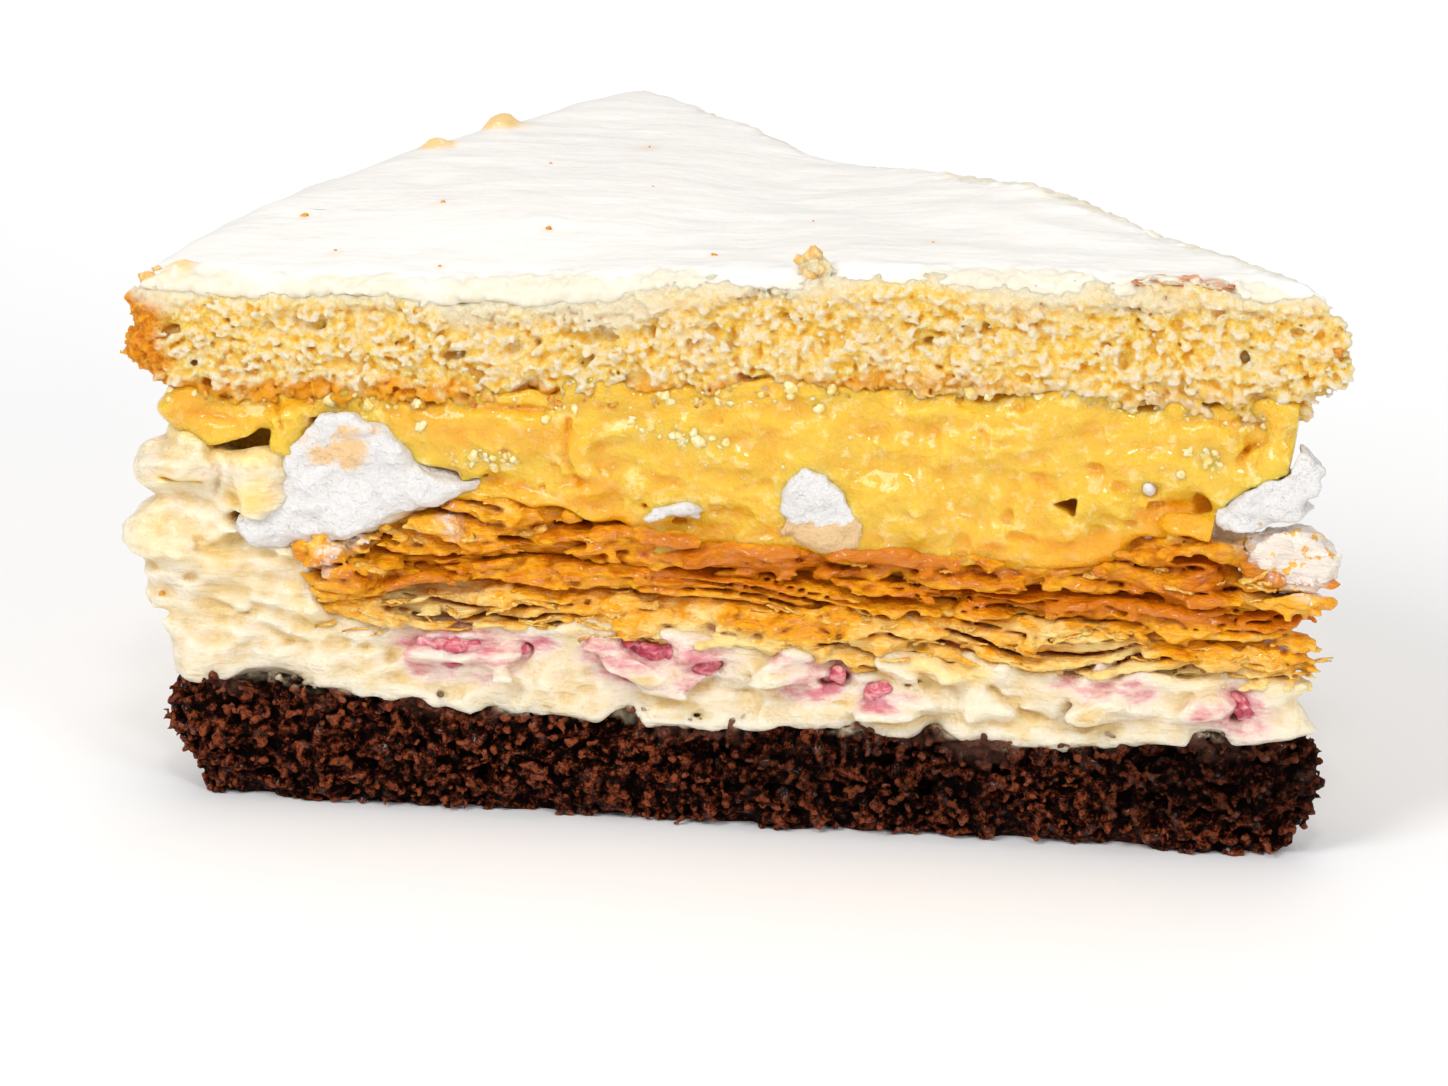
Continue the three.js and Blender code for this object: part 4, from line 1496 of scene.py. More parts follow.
@dataclass
class PastryLeaves(Layer):
    """One stack of baked leaves.

    leaf is the height of one. ragged, gap and lumpy say how far edges, seams and lumps stand out or in.
    """

    slot: str = "pastry"
    pitch: float = 0.3
    target: int = 88_000
    leaf: float = 1.3
    ragged: float = 0.7
    gap: float = 1.2
    lumpy: float = 0.5
    seed: int = 31
    tone: tuple[float, float] = (0.1, 0.5)
    lumps: tuple[str, ...] = ()
    slots: tuple[tuple[Path, float, float], ...] = ()
    tints: tuple[tuple[Path, float, float], ...] = ()
    sugar: tuple[tuple[Path, float, float], ...] = ()

    def build(self) -> None:
        """Build and dress the stack."""
        clay = Clay(self.nodes, self.pitch)
        if self.lumps:
            clay.fill(*self.lumps, below=1.1)
        self.roll(clay, 0.2, 1.1, 0.9)
        wave = 1.1 * clay.grain((13.0, 13.0, 7.0), self.seed)
        wave = wave + 0.3 * clay.grain((3.2, 3.2, 2.0), self.seed + 1)
        turn = (clay.z + wave) / np.float32(self.leaf)
        number = np.floor(turn).astype(int)
        part = turn - number
        first = number.min()
        # Each leaf reaches out by its own pattern: one row of the pattern for each leaf.
        rows = np.arange(number.max() - first + 1) * 4.0
        plate = grain([rows, *clay.axes[:2]], (1.0, 4.2, 4.2), self.seed + 2)
        torn = grain([rows, *clay.axes[:2]], (1.0, 1.3, 1.3), self.seed + 3)
        edge = 0.85 * np.tanh(1.4 * plate) + 0.45 * torn
        i, j, _ = np.ogrid[:clay.form.shape[0], :clay.form.shape[1], :1]
        reach = edge[number - first, i, j]
        # Between two leaves the stack opens where the patches are strong.
        seam = ease(0.5, 1.0, np.abs(2 * part - 1))
        patchy = clay.grain((5.0, 5.0, 1.8), self.seed + 4)
        clay.swell(self.ragged * reach - self.gap * seam * np.clip(0.75 + 0.75 * patchy, 0.0, 2.2))
        clay.swell(self.lumpy * (0.5 - clay.cells((2.6, 2.6, 1.3), self.seed + 5, 0.6)))
        clay.swell(0.16 * clay.grain((0.9, 0.9, 0.7), self.seed + 6))
        clay.swell(0.7 * (0.5 - clay.cells((1.4, 1.4, 0.7), self.seed + 9, 0.3)) - 0.05)
        for path, width, depth in self.slots:
            clay.slot(path, width, depth)
        skin = clay.mesh(self.nodes[0] + "_leaves", self.target)
        skin.mark("hollow", skin.hollow(0.6))
        pale, dark = self.tone
        low, high = skin.places[:, 2].min(), skin.places[:, 2].max()
        height = (skin.places[:, 2] - low) / (high - low)
        tone = pale + (dark - pale) * height + 0.15 * skin.noise((6.0, 6.0, 1.6), self.seed + 7)
        tone += 0.12 * skin.read(reach)
        for path, radius, share in self.tints:
            tone += share * skin.patch(path, radius, 1.0)
        skin.mark("tone", tone)
        skin.mark("sugar", skin.over(np.zeros(len(tone)), self.sugar))
        wet = ease(1.6, 0.2, skin.near("custard"))
        skin.mark("custard", wet * ease(-0.6, 0.8, skin.noise((4.0, 4.0, 2.0), self.seed + 8)))
        PastryFinish(self.nodes[0]).dress(skin.object)
        self.settle(skin.object)


@dataclass
class CustardLayer(Layer):
    """Set custard with its fallen drop."""

    nodes: tuple[str, ...] = ("custard", "custard_drop")
    slot: str = "custard"
    pitch: float = 0.33
    target: int = 84_000
    lumps: tuple[str, ...] = (
        "meringue_left", "meringue_middle", "meringue_sliver", "meringue_bead", "meringue_right",
        "meringue_back_1", "meringue_back_2")
    dents: tuple[tuple[Path, float, float], ...] = (
        (((38.5, 43.0), (38.0, 39.0), (39.5, 36.5)), 0.7, 0.5),
        (((56.0, 36.6), (59.0, 37.4)), 0.6, 0.5),
        (((46.0, 37.6), (52.0, 36.4), (58.0, 35.4)), 0.8, 0.35),
        (((20.0, 44.0), (36.0, 44.0)), 0.8, 0.5),
        (((84.0, 33.0), (90.0, 32.2)), 0.8, 0.4),
        (((-3.0, 42.0), (3.0, 41.0)), 0.8, 0.4),
        (((7.5, 43.5), (8.5, 41.0)), 0.6, 0.6),
    )
    rolls: tuple[tuple[Path, float], ...] = (
        (((44.4, 34.4), (45.2, 35.0)), 0.45),
        (((91.6, 36.6), (92.2, 35.6)), 0.8),
        (((94.2, 36.8), (95.0, 35.8)), 1.1),
        (((100.0, 35.6), (105.0, 34.6)), 1.9),
        (((97.0, 37.6), (97.6, 36.4)), 0.8),
        (((9.4, 42.0), (8.6, 39.4)), 1.3),
        (((40.2, 43.0), (39.8, 39.0), (41.0, 36.0)), 0.6),
    )
    left_gap: Path = (
        (-14.0, 41.2), (-5.5, 41.0), (-4.6, 40.2), (-3.4, 38.4), (-2.4, 37.7), (-1.6, 38.6), (0.0, 38.0),
        (1.6, 38.5), (3.0, 39.0), (4.6, 39.5), (6.0, 40.5), (7.2, 40.2), (7.1, 38.7), (8.0, 37.5),
        (9.4, 37.4), (10.2, 35.5), (10.2, 26.0), (-14.0, 26.0))
    right_gap: Path = (
        (112.6, 52.0), (112.4, 46.0), (112.1, 43.5), (111.6, 40.8), (109.8, 40.2), (107.4, 39.0),
        (105.6, 37.6), (104.4, 35.6), (104.0, 33.0), (125.0, 30.0), (125.0, 52.0))
    nick: Path = ((88.0, 36.6), (90.6, 37.5), (90.4, 35.3), (89.6, 35.8))
    # Patches of painted deep orange shade on the front cut: lines, radii and shares.
    amber_shades: tuple[tuple[Path, float, float], ...] = (
        (((-3.0, 43.2), (4.0, 43.4), (12.0, 43.8)), 0.9, 0.9),
        (((-3.0, 41.6), (5.0, 42.0)), 1.6, 0.6),
        (((22.0, 42.0), (38.0, 41.4)), 2.2, 0.5),
        (((38.0, 33.5), (42.0, 36.0)), 1.4, 0.9),
        (((98.6, 35.6), (105.6, 34.4)), 2.2, 1.0),
        (((80.0, 31.8), (96.0, 32.4)), 1.2, 0.8),
        (((100.0, 47.0), (110.0, 46.4)), 0.8, 0.7),
        (((59.5, 32.2), (69.0, 32.6)), 0.9, 0.7),
    )

    def build(self) -> None:
        """Build and dress the custard."""
        clay = Clay(self.nodes, self.pitch)
        clay.fill(*self.lumps, below=0.6)
        clay.meet("vanilla_sponge", amount=0.6 + 0.3 * clay.grain(2.0, 55), reach=1.5)
        clay.meet("pastry_upper", amount=0.7 + 0.4 * clay.grain(2.4, 56), reach=1.6)
        clay.meet("cream", amount=0.4)
        clay.meet(*self.lumps, amount=0.35, reach=1.0)
        self.roll(clay, 0.1, 1.0, 1.2)
        clay.pile([(110.2, 46.0), (110.3, 42.0)], 2.3, -2.0, 1.0, 1.6)
        clay.pile([(104.0, 38.4), (105.2, 37.2)], 1.3, -1.0, 1.0, 1.0)
        clay.swell(0.35 * clay.grain((7.0, 7.0, 4.5), 51) + 0.3 * clay.grain((2.6, 2.6, 1.8), 52))
        clay.swell(0.25 * (0.8 - np.abs(clay.grain((2.6, 2.6, 1.3), 53))) + 0.1 * clay.grain(1.0, 57))
        clay.swell(-0.5 * ease(1.8, 2.5, clay.grain((1.4, 1.4, 1.0), 54)))
        self.dent(clay)
        clay.carve(self.left_gap, 6.0)
        clay.carve(self.right_gap, 30.0)
        clay.carve(self.nick, 3.0)
        skin = clay.mesh("set_custard", self.target)
        skin.mark("hollow", skin.hollow(0.9))
        below, above = skin.near("pastry_upper"), skin.near("vanilla_sponge")
        # Painted shade under the sponge and along the upper pastry.
        amber = 0.9 * ease(1.9, 0.2, below) + 0.8 * ease(1.6, 0.0, above)
        skin.mark("amber", skin.over(amber, self.amber_shades, 1.2))
        CustardFinish().dress(skin.object)
        self.settle(skin.object)


@dataclass
class VanillaLayer(Layer):
    """The pale sponge under the glaze."""

    nodes: tuple[str, ...] = ("vanilla_sponge",)
    slot: str = "vanilla_sponge"
    pitch: float = 0.26
    # How far the crumb that hangs under the glaze stands to the front and down, left and right of the middle.
    hangs: tuple[tuple[float, float], ...] = ((0.45, 1.2), (0.4, 0.6))

    def build(self) -> None:
        """Build and dress the vanilla crumb."""
        clay = Clay(self.nodes, self.pitch)
        # Only the cuts and the rim are open; the top and the bottom stay under their neighbours.
        depth = clay.depth()
        clay.open *= np.maximum(ease(9.0, 6.0, depth), ease(9.0, 6.0, rim_depth(clay.x, clay.y)))
        glaze = SOLIDS.of("glaze")
        x, y, z = clay.axes
        low, high = (glaze.onto([x, y + front, z + down]) for front, down in self.hangs)
        ragged = 0.15 * clay.grain((1.6, 1.6, 1.2), 69)
        lump = high + (low - high) * ease(52.0, 44.0, clay.x - CORNER[0])
        clay.unite(lump + ragged + 2.5 * ease(1.0, 3.0, depth), 1.2)
        clay.meet("custard", amount=0.45, reach=1.0)
        loose = ease(0.2, 3.0, glaze.onto(clay.axes))
        clay.swell(0.2 * clay.grain((4.0, 4.0, 2.5), 61))
        # Pits, clumps, grains and fine crumb, weaker where the glaze has soaked in.
        pits = ease(1.0, 2.2, clay.grain((1.3, 1.3, 0.9), 64))
        clay.swell(-1.5 * pits * loose)
        clumps = clay.cells((2.3, 2.3, 1.7), 62, 0.7)
        grains = clay.cells((1.0, 1.0, 0.8), 63, 0.3)
        clay.swell((0.4 + 0.6 * loose) * (1.1 * (0.5 - clumps) + 1.4 * (0.5 - grains)) + 0.1)
        clay.swell(0.45 * (0.5 - clay.cells(0.6, 65, 0.1)))
        skin = clay.mesh("vanilla_crumb", self.target)
        skin.mark("hollow", skin.hollow(0.6))
        skin.mark("crease", skin.read(0.4 * clumps + 0.6 * grains))
        inside = rim_depth(skin.places[:, 0], skin.places[:, 1])
        x = skin.places[:, 0] - CORNER[0]
        skin.mark("crust", ease(4.4, 2.2, inside + 0.5 * skin.noise(2.0, 68)))
        under = ease(2.6, 0.8, skin.near("custard", "custard_drop") + 0.5 * skin.noise(2.0, 66))
        skin.mark("under", under * (0.25 + 0.75 * ease(85.0, 60.0, x)))
        lobes = 1.0 + 1.3 * ease(10.0, 20.0, x) * ease(60.0, 46.0, x)
        soaked = skin.near("glaze") - 0.4 * lobes * skin.noise((5.0, 5.0, 3.0), 67)
        skin.mark("soak", ease(lobes, -0.2, soaked))
        SpongeFinish().dress(skin.object)
        self.settle(skin.object)


@dataclass
class GlazeTop(Layer):
    """The thin white glaze."""

    nodes: tuple[str, ...] = ("glaze",)
    slot: str = "glaze"
    pitch: float = 0.3
    target: int = 54_000
    crumbs: tuple[tuple[float, float, float], ...] = (
        (63.2, 0.9, 2.6), (18.4, 61.4, 3.6), (13.4, 50.0, 2.4), (-2.6, 2.4, 2.2))
    specks: tuple[tuple[float, float], ...] = (
        (12.0, 9.0), (20.0, 24.0), (33.0, 16.0), (41.0, 33.0), (28.0, 42.0), (52.0, 8.0), (60.0, 22.0),
        (24.0, 5.0), (6.0, 20.0), (37.0, 52.0), (74.0, 12.0))

    def build(self) -> None:
        """Build and dress the glaze."""
        clay = Clay(self.nodes, self.pitch)
        clay.swell(0.12 * clay.grain((9.0, 9.0, 9.0), 71) + 0.08 * clay.grain((2.5, 2.5, 2.0), 72))
        # Along the cuts the glaze is torn.
        depth = clay.depth() + 0.8 * clay.grain(3.0, 74)
        edge = ease(4.5, 0.8, depth)
        clay.swell(edge * (0.6 * (0.5 - clay.cells((1.7, 1.7, 1.2), 73, 0.5)) - 0.1))
        clay.swell(edge * 0.4 * (0.5 - clay.cells(0.9, 75, 0.2)))
        skin = clay.mesh("sugar_glaze", self.target, 4.0)
        above = skin.near("vanilla_sponge")
        seam = 1.2 * ease(1.6, 0.0, above) * skin.read(edge)
        thin = np.maximum(ease(2.4, 0.3, skin.read(depth)), seam)
        skin.mark("thin", thin)
        bit = np.zeros(len(thin))
        for x, y, radius in self.crumbs:
            bit = np.maximum(bit, skin.spot(x, y, radius))
        skin.mark("bit", bit * ease(1.6, 2.4, above))
        skin.mark("burnt", skin.spot(99.0, 0.4, 2.6, 1.4) + skin.spot(102.6, 0.4, 2.2, 1.2))
        halo = np.zeros(len(thin))
        for x, y in self.specks:
            halo = np.maximum(halo, skin.spot(x, y, 0.5, 0.7))
        skin.mark("halo", halo)
        GlazeFinish().dress(skin.object)
        self.settle(skin.object)


@dataclass
class Lump(Layer):
    """A loose lump set into the layers; its outline is what the front cut shows of it."""

    target: int = 9_500
    rough: float = 0.2
    grow: float = 0.42
    seed: int = 81
    outline: Path = ()

    def clay(self) -> Clay:
        """The lump's clay with a broken surface.

        Returns:
            The worked clay.
        """
        clay = Clay(self.nodes, self.pitch, grow=self.grow, coarse=1.0)
        clay.open = np.ones_like(clay.form)
        if self.outline:
            clay.trim(self.outline)
            clay.chip(7, self.seed, 0.7)
        broad = 3.0 * (0.5 - clay.cells(2.6, self.seed + 2, 0.5))
        clay.swell(self.rough * (clay.grain(3.0, self.seed) + broad))
        fine = 1.5 * (0.5 - clay.cells(1.1, self.seed + 3))
        clay.swell(self.rough * (0.5 * clay.grain(1.0, self.seed + 1) + fine))
        return clay


@dataclass
class MeringueLump(Lump):
    """A broken piece of meringue."""

    slot: str = "meringue"

    def build(self) -> None:
        """Build and dress the lump."""
        skin = self.clay().mesh(self.nodes[0] + "_broken", self.target, 9.0)
        skin.mark("hollow", skin.hollow(0.6))
        smear = 0.9 * skin.patch([(12.4, 38.6), (16.0, 38.8)], 1.9, 1.6)
        smear += 0.9 * skin.patch([(15.0, 41.4), (18.6, 41.2)], 0.5, 0.8)
        skin.mark("base", skin.patch([(56.0, 30.6), (72.0, 31.6)], 2.4, 0.8))
        skin.mark("smear", smear + 0.8 * skin.patch([(4.0, 32.4), (7.6, 33.6)], 1.4, 1.0))
        MeringueFinish().dress(skin.object)
        self.settle(skin.object)


@dataclass
class SugarCrust(Lump):
    """A pastry corner under caked white sugar."""

    slot: str = "meringue"

    def build(self) -> None:
        """Build and dress the crust."""
        clay = self.clay()
        clay.swell(0.7 * (0.5 - clay.cells(1.1, self.seed + 5, 0.2)))
        skin = clay.mesh(self.nodes[0] + "_cake", self.target, 9.0)
        skin.mark("hollow", skin.hollow(0.6))
        skin.mark("tone", 0.35 + 0.1 * skin.noise(2.0, self.seed + 6))
        x, z = skin.places[:, 0] - CORNER[0], skin.places[:, 2]
        caked = ease(26.0, 28.5, z + 0.6 * (113.0 - x))
        skin.mark("sugar", 9.0 * caked + skin.noise(2.0, self.seed + 7))
        skin.mark("custard", np.zeros(len(skin.places)))
        PastryFinish("sugar_crust").dress(skin.object)
        self.settle(skin.object)


@dataclass
class BerryPiece(Lump):
    """A piece of soft fruit."""

    slot: str = "berry"

    def build(self) -> None:
        """Build and dress the fruit."""
        skin = self.clay().mesh(self.nodes[0] + "_fruit", self.target, 9.0)
        BerryFinish().dress(skin.object)
        self.settle(skin.object)


# Loose bits


@dataclass(frozen=True)
class BitFinish:
    """Plain two-tone finish of crumbs, shards and grains."""

    name: str
    light: Colour
    dark: Colour
    gloss: float = 0.5

    def dress(self, piece: bpy.types.Object) -> None:
        """Give a piece this finish.

        Args:
            piece: the bits' mesh.
        """
        p = Paint(self.name)
        fine = p.noise(0.9, 4.0, 0.7)
        colour = p.mix(fine.ease(0.38, 0.62), self.dark, self.light)
        p.finish(piece, {"Base Color": colour, "Roughness": self.gloss, "Normal": p.bump(fine, 0.4),
                         "Specular IOR Level": 0.3, **translucent(0.3, (1.0, 0.6, 0.25), 0.001)})


# Bits fall from this height, or fly in from this far in front of the cut, and land within this many metres.
FALL_FROM = 90.0
FLY_FROM = 20.0
FLIGHT = 0.06
# Crumbs above this half size, in millimetres, get a finer mesh.
LARGE_CRUMB = 0.4


class Form(Enum):
    """What a loose bit looks like."""

    CRUMB = "crumb"
    SHARD = "shard"


@dataclass
class Bits:
    """Loose bits of one kind that stick to finished pieces, all in one mesh."""

    name: str
    slot: str
    finish: BitFinish
    carriers: tuple[str, ...]
    spots: list[tuple[float, float, float]]
    form: Form = Form.CRUMB
    from_above: bool = False
    seed: int = 200

    def build(self) -> None:
        """Set every bit on the surface that it sticks to, and dress the mesh."""
        rng = np.random.default_rng(self.seed)
        trees = [BVHTree.FromObject(bpy.data.objects[n], bpy.context.evaluated_depsgraph_get())
                 for n in self.carriers]
        points, faces, count = [], [], 0
        for a, b, size in self.spots:
            seat = self.seat(trees, a, b)
            turn = np.linalg.qr(rng.standard_normal((3, 3)))[0]
            if seat is None:
                continue
            bit, bit_faces = self.shape(rng, size)
            if self.form is Form.CRUMB:
                bit = bit @ turn * np.linalg.det(turn) * (1.0, 0.55, 1.0)
            points.append(bit + np.array(seat) / MM + self.sunk(size))
            faces.append(bit_faces + count)
            count += len(bit)
        piece = build_object(self.name, np.concatenate(points) * MM, [np.concatenate(faces)])
        self.finish.dress(piece)
        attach(piece, "root")
        log.info("%s: %d bits, %d triangles", self.name, len(points), triangle_count(piece.data))

    def seat(self, trees: Sequence[BVHTree], a: float, b: float) -> Vector | None:
        """Where a bit lands on the finished pieces.

        Args:
            trees: the finished pieces.
            a: place along the front cut.
            b: height, or place behind the front cut where bits fall from above.

        Returns:
            The nearest hit in metres, if there is one.
        """
        if self.from_above:
            start, way = Vector((a + CORNER[0], b + CORNER[1], FALL_FROM)) * MM, Vector((0.0, 0.0, -1.0))
        else:
            start, way = Vector((a + CORNER[0], CORNER[1] - FLY_FROM, b)) * MM, Vector((0.0, 1.0, 0.0))
        hits = [tree.ray_cast(start, way, FLIGHT) for tree in trees]
        hits = [hit for hit in hits if hit[0] is not None]
        return min(hits, key=lambda hit: hit[3])[0] if hits else None

    def sunk(self, size: float) -> Array:
        """How far a bit is pushed into its seat."""
        return np.array([0.0, 0.0, -0.2 * size]) if self.from_above else np.array([0.0, 0.15 * size, 0.0])

    def shape(self, rng: np.random.Generator, size: float) -> tuple[Array, Array]:
        """One bit round its own middle.

        Args:
            rng: source of chance.
            size: half its length in millimetres.

        Returns:
            Points in millimetres and triangles.
        """
        if self.form is Form.SHARD:
            points, faces = shard(rng, size)
            return points * ((1.0, 1.0, 0.35) if self.from_above else 1.0), faces
        points, faces = ball(2 if size > LARGE_CRUMB else 1)
        bumps = sum(amount * np.cos(points @ rng.normal(0, pitch, (3, 1)) + rng.uniform(0, 6.3))
                    for amount, pitch in ((0.2, 2.2), (0.16, 4.0), (0.14, 6.0), (0.1, 9.0)))
        return points * (1 + bumps) * size * rng.uniform(0.55, 1.0, 3), faces


def ball(fineness: int) -> tuple[Array, Array]:
    """A round ball of triangles.

    Args:
        fineness: 1 for twenty faces, and four times as many for each step more.

    Returns:
        Points at distance 1 and triangles.
    """
    shape = bmesh.new()
    bmesh.ops.create_icosphere(shape, subdivisions=fineness, radius=1.0)
    points = np.array([v.co[:] for v in shape.verts])
    faces = np.array([[v.index for v in f.verts] for f in shape.faces])
    shape.free()
    return points, faces


def shard(rng: np.random.Generator, size: float) -> tuple[Array, Array]:
    """A thin curled flake that lies nearly level and stands out of the cut.

    Args:
        rng: source of chance.
        size: half its length in millimetres.

    Returns:
        Points in millimetres and triangles.
    """
    columns, rows = 9, 4
    u, v = np.meshgrid(np.linspace(-1, 1, columns), np.linspace(-1, 1, rows), indexing="ij")
    taper = 1 - 0.5 * np.abs(u) ** 2 * rng.uniform(0.6, 1.0)
    x = u * size + 0.12 * size * rng.standard_normal(u.shape) * (np.abs(u) > 0.9)
    y = v * taper * rng.uniform(0.45, 0.8) + 0.12 * rng.standard_normal(u.shape)
    z = 0.3 * size * rng.uniform(-0.5, 1) * u ** 2 + rng.uniform(-0.25, 0.25) * v
    z = z + 0.06 * rng.standard_normal(u.shape)
    thick = rng.uniform(0.07, 0.12)
    top, low = (np.stack([x, y, z + side], -1).reshape(-1, 3) for side in (thick, -thick))
    ids = np.arange(columns * rows).reshape(columns, rows)
    quads = np.stack([ids[:-1, :-1], ids[1:, :-1], ids[1:, 1:], ids[:-1, 1:]], -1).reshape(-1, 4)
    rim = np.concatenate([ids[:, 0], ids[-1, 1:], ids[-2::-1, -1], ids[0, -2:0:-1]])
    following = np.roll(rim, -1)
    far = ids.size
    sides = np.stack([rim + far, following + far, following, rim], -1)
    quads = np.concatenate([quads, quads[:, ::-1] + far, sides])
    tilt = rng.uniform(-0.35, 0.35)
    turn = np.array([[math.cos(tilt), 0, math.sin(tilt)], [0, 1, 0], [-math.sin(tilt), 0, math.cos(tilt)]])
    triangles = np.concatenate([quads[:, [0, 1, 2]], quads[:, [0, 2, 3]]])
    return np.concatenate([top, low]) @ turn, triangles


def scattered(seed: int, count: int, along: tuple[float, float], heights: Path, spread: float,
              sizes: tuple[float, float]) -> list[tuple[float, float, float]]:
    """Spots strewn along a band of the front cut.

    Args:
        seed: picks the pattern.
        count: number of spots.
        along: ends of the band.
        heights: height of the band's middle at some places.
        spread: half the band's height.
        sizes: least and greatest half size.

    Returns:
        Place along the cut, height and half size of each spot.
    """
    rng = np.random.default_rng(seed)
    x = rng.uniform(*along, count)
    z = np.interp(x, *np.array(heights).T) + spread * rng.uniform(-1, 1, count)
    size = sizes[0] + (sizes[1] - sizes[0]) * rng.random(count) ** 2
    return list(zip(x.tolist(), z.tolist(), size.tolist()))


# Middles of the bands in which bits are strewn: places along the front cut and heights.
UNDER_SPONGE = (
    (-5.0, 43.4), (30.0, 44.3), (50.0, 45.3), (62.0, 46.8), (90.0, 47.8), (96.0, 46.8), (112.0, 46.0))
CUSTARD_MIDDLE = ((20.0, 41.0), (50.0, 41.0), (80.0, 42.0), (110.0, 42.0))
LOWER_LEAVES = ((12.0, 20.0), (28.0, 22.5), (50.0, 21.6), (72.0, 21.6), (95.0, 21.0), (114.0, 20.0))
UPPER_LEAVES = ((12.0, 27.0), (30.0, 30.0), (50.0, 29.0), (95.0, 28.2), (114.0, 28.5))


def loose_bits() -> list[Bits]:
    """Every kind of loose bit on the slice.

    Returns:
        The kinds in the order in which they are built.
    """
    pale = BitFinish("loose_sponge_crumb", (0.99, 0.86, 0.52), (0.92, 0.62, 0.16))
    crust = BitFinish("loose_crust_crumb", (0.84, 0.40, 0.06), (0.55, 0.17, 0.01))
    leaf = BitFinish("loose_pastry_leaf", (0.95, 0.62, 0.16), (0.76, 0.30, 0.02), 0.3)
    ochre = BitFinish("loose_toasted_crumb", (0.88, 0.62, 0.28), (0.76, 0.40, 0.10))
    rim = BitFinish("loose_rim_flake", (0.74, 0.30, 0.12), (0.48, 0.13, 0.04), 0.3)
    sugar = BitFinish("loose_sugar", (0.86, 0.84, 0.82), (0.78, 0.74, 0.70))
    stuck = [(23.0, 41.5, 0.9), (28.5, 38.6, 1.0), (30.6, 37.6, 0.7), (36.2, 43.2, 0.8), (45.0, 43.0, 0.7),
             (50.0, 42.0, 0.8), (51.8, 41.4, 0.9), (53.2, 41.8, 0.5), (64.0, 45.2, 0.8), (93.8, 47.0, 1.1),
             (95.6, 46.6, 0.8), (101.5, 42.5, 0.8), (104.0, 41.0, 0.4)]
    layers = ("set_custard", "vanilla_crumb")
    leaves = ("pastry_lower_leaves", "pastry_middle_leaves", "pastry_upper_leaves")
    return [
        Bits("stuck_sponge_crumbs", "vanilla_sponge", pale, layers, stuck
             + scattered(201, 46, (-4.0, 110.0), UNDER_SPONGE, 0.8, (0.35, 1.0))
             + scattered(202, 40, (14.0, 110.0), CUSTARD_MIDDLE, 3.6, (0.16, 0.4))
             + scattered(215, 24, (26.0, 33.0), ((26.0, 38.6), (33.0, 38.2)), 1.2, (0.2, 0.7))
             + scattered(216, 24, (44.0, 55.0), ((44.0, 43.2), (55.0, 41.0)), 1.0, (0.2, 0.7))
             + scattered(217, 14, (99.0, 105.0), ((99.0, 41.0), (105.0, 42.4)), 1.0, (0.2, 0.6)), seed=203),
        Bits("glaze_crumb", "vanilla_sponge", ochre, ("sugar_glaze", "vanilla_crumb"),
             [(62.2, 60.4, 1.0), (63.4, 61.0, 1.2), (64.3, 61.6, 0.9), (63.0, 59.4, 0.9), (64.2, 59.8, 0.7),
              (-6.2, 55.6, 1.1), (-5.4, 56.0, 0.8)], seed=218),
        Bits("browned_crumbs", "vanilla_sponge", crust, layers + ("whipped_cream",),
             [(-5.3, 21.8, 0.45), (116.2, 53.8, 0.8), (116.6, 53.0, 0.7), (86.5, 57.4, 0.4),
              (69.5, 51.0, 0.3)]
             + scattered(204, 30, (-4.0, 72.0), UNDER_SPONGE, 0.7, (0.25, 0.6)), seed=205),
        Bits("glaze_specks", "vanilla_sponge", crust, ("sugar_glaze",),
             [(x, y, 0.28 + 0.1 * (i % 3)) for i, (x, y) in enumerate(GlazeTop.specks)],
             from_above=True, seed=206),
        Bits("rim_flakes", "vanilla_sponge", rim, ("sugar_glaze", "vanilla_crumb"),
             [(96.8, 0.3, 1.3), (98.8, 0.0, 1.6), (101.0, 0.2, 1.9), (103.4, 0.1, 1.8), (104.6, 0.9, 1.2),
              (100.2, 0.9, 1.2)], Form.SHARD, True, seed=214),
        Bits("pastry_shards", "pastry", leaf, leaves + ("whipped_cream",),
             scattered(207, 60, (12.0, 114.0), LOWER_LEAVES, 2.4, (0.9, 2.6))
             + scattered(208, 26, (13.0, 114.0), UPPER_LEAVES, 2.0, (0.7, 1.6)), Form.SHARD, seed=209),
        Bits("sugar_grains", "meringue", sugar, leaves + ("set_custard",), [(97.5, 33.0, 0.6)]
             + scattered(210, 30, (107.0, 115.0), ((107.0, 33.0), (115.0, 30.0)), 2.6, (0.14, 0.36))
             + scattered(211, 16, (11.5, 18.0), ((11.5, 25.5), (18.0, 29.6)), 1.0, (0.12, 0.3))
             + scattered(212, 10, (24.0, 27.0), ((24.0, 32.6), (27.0, 31.0)), 0.8, (0.12, 0.4)), seed=213),
    ]


# Studio


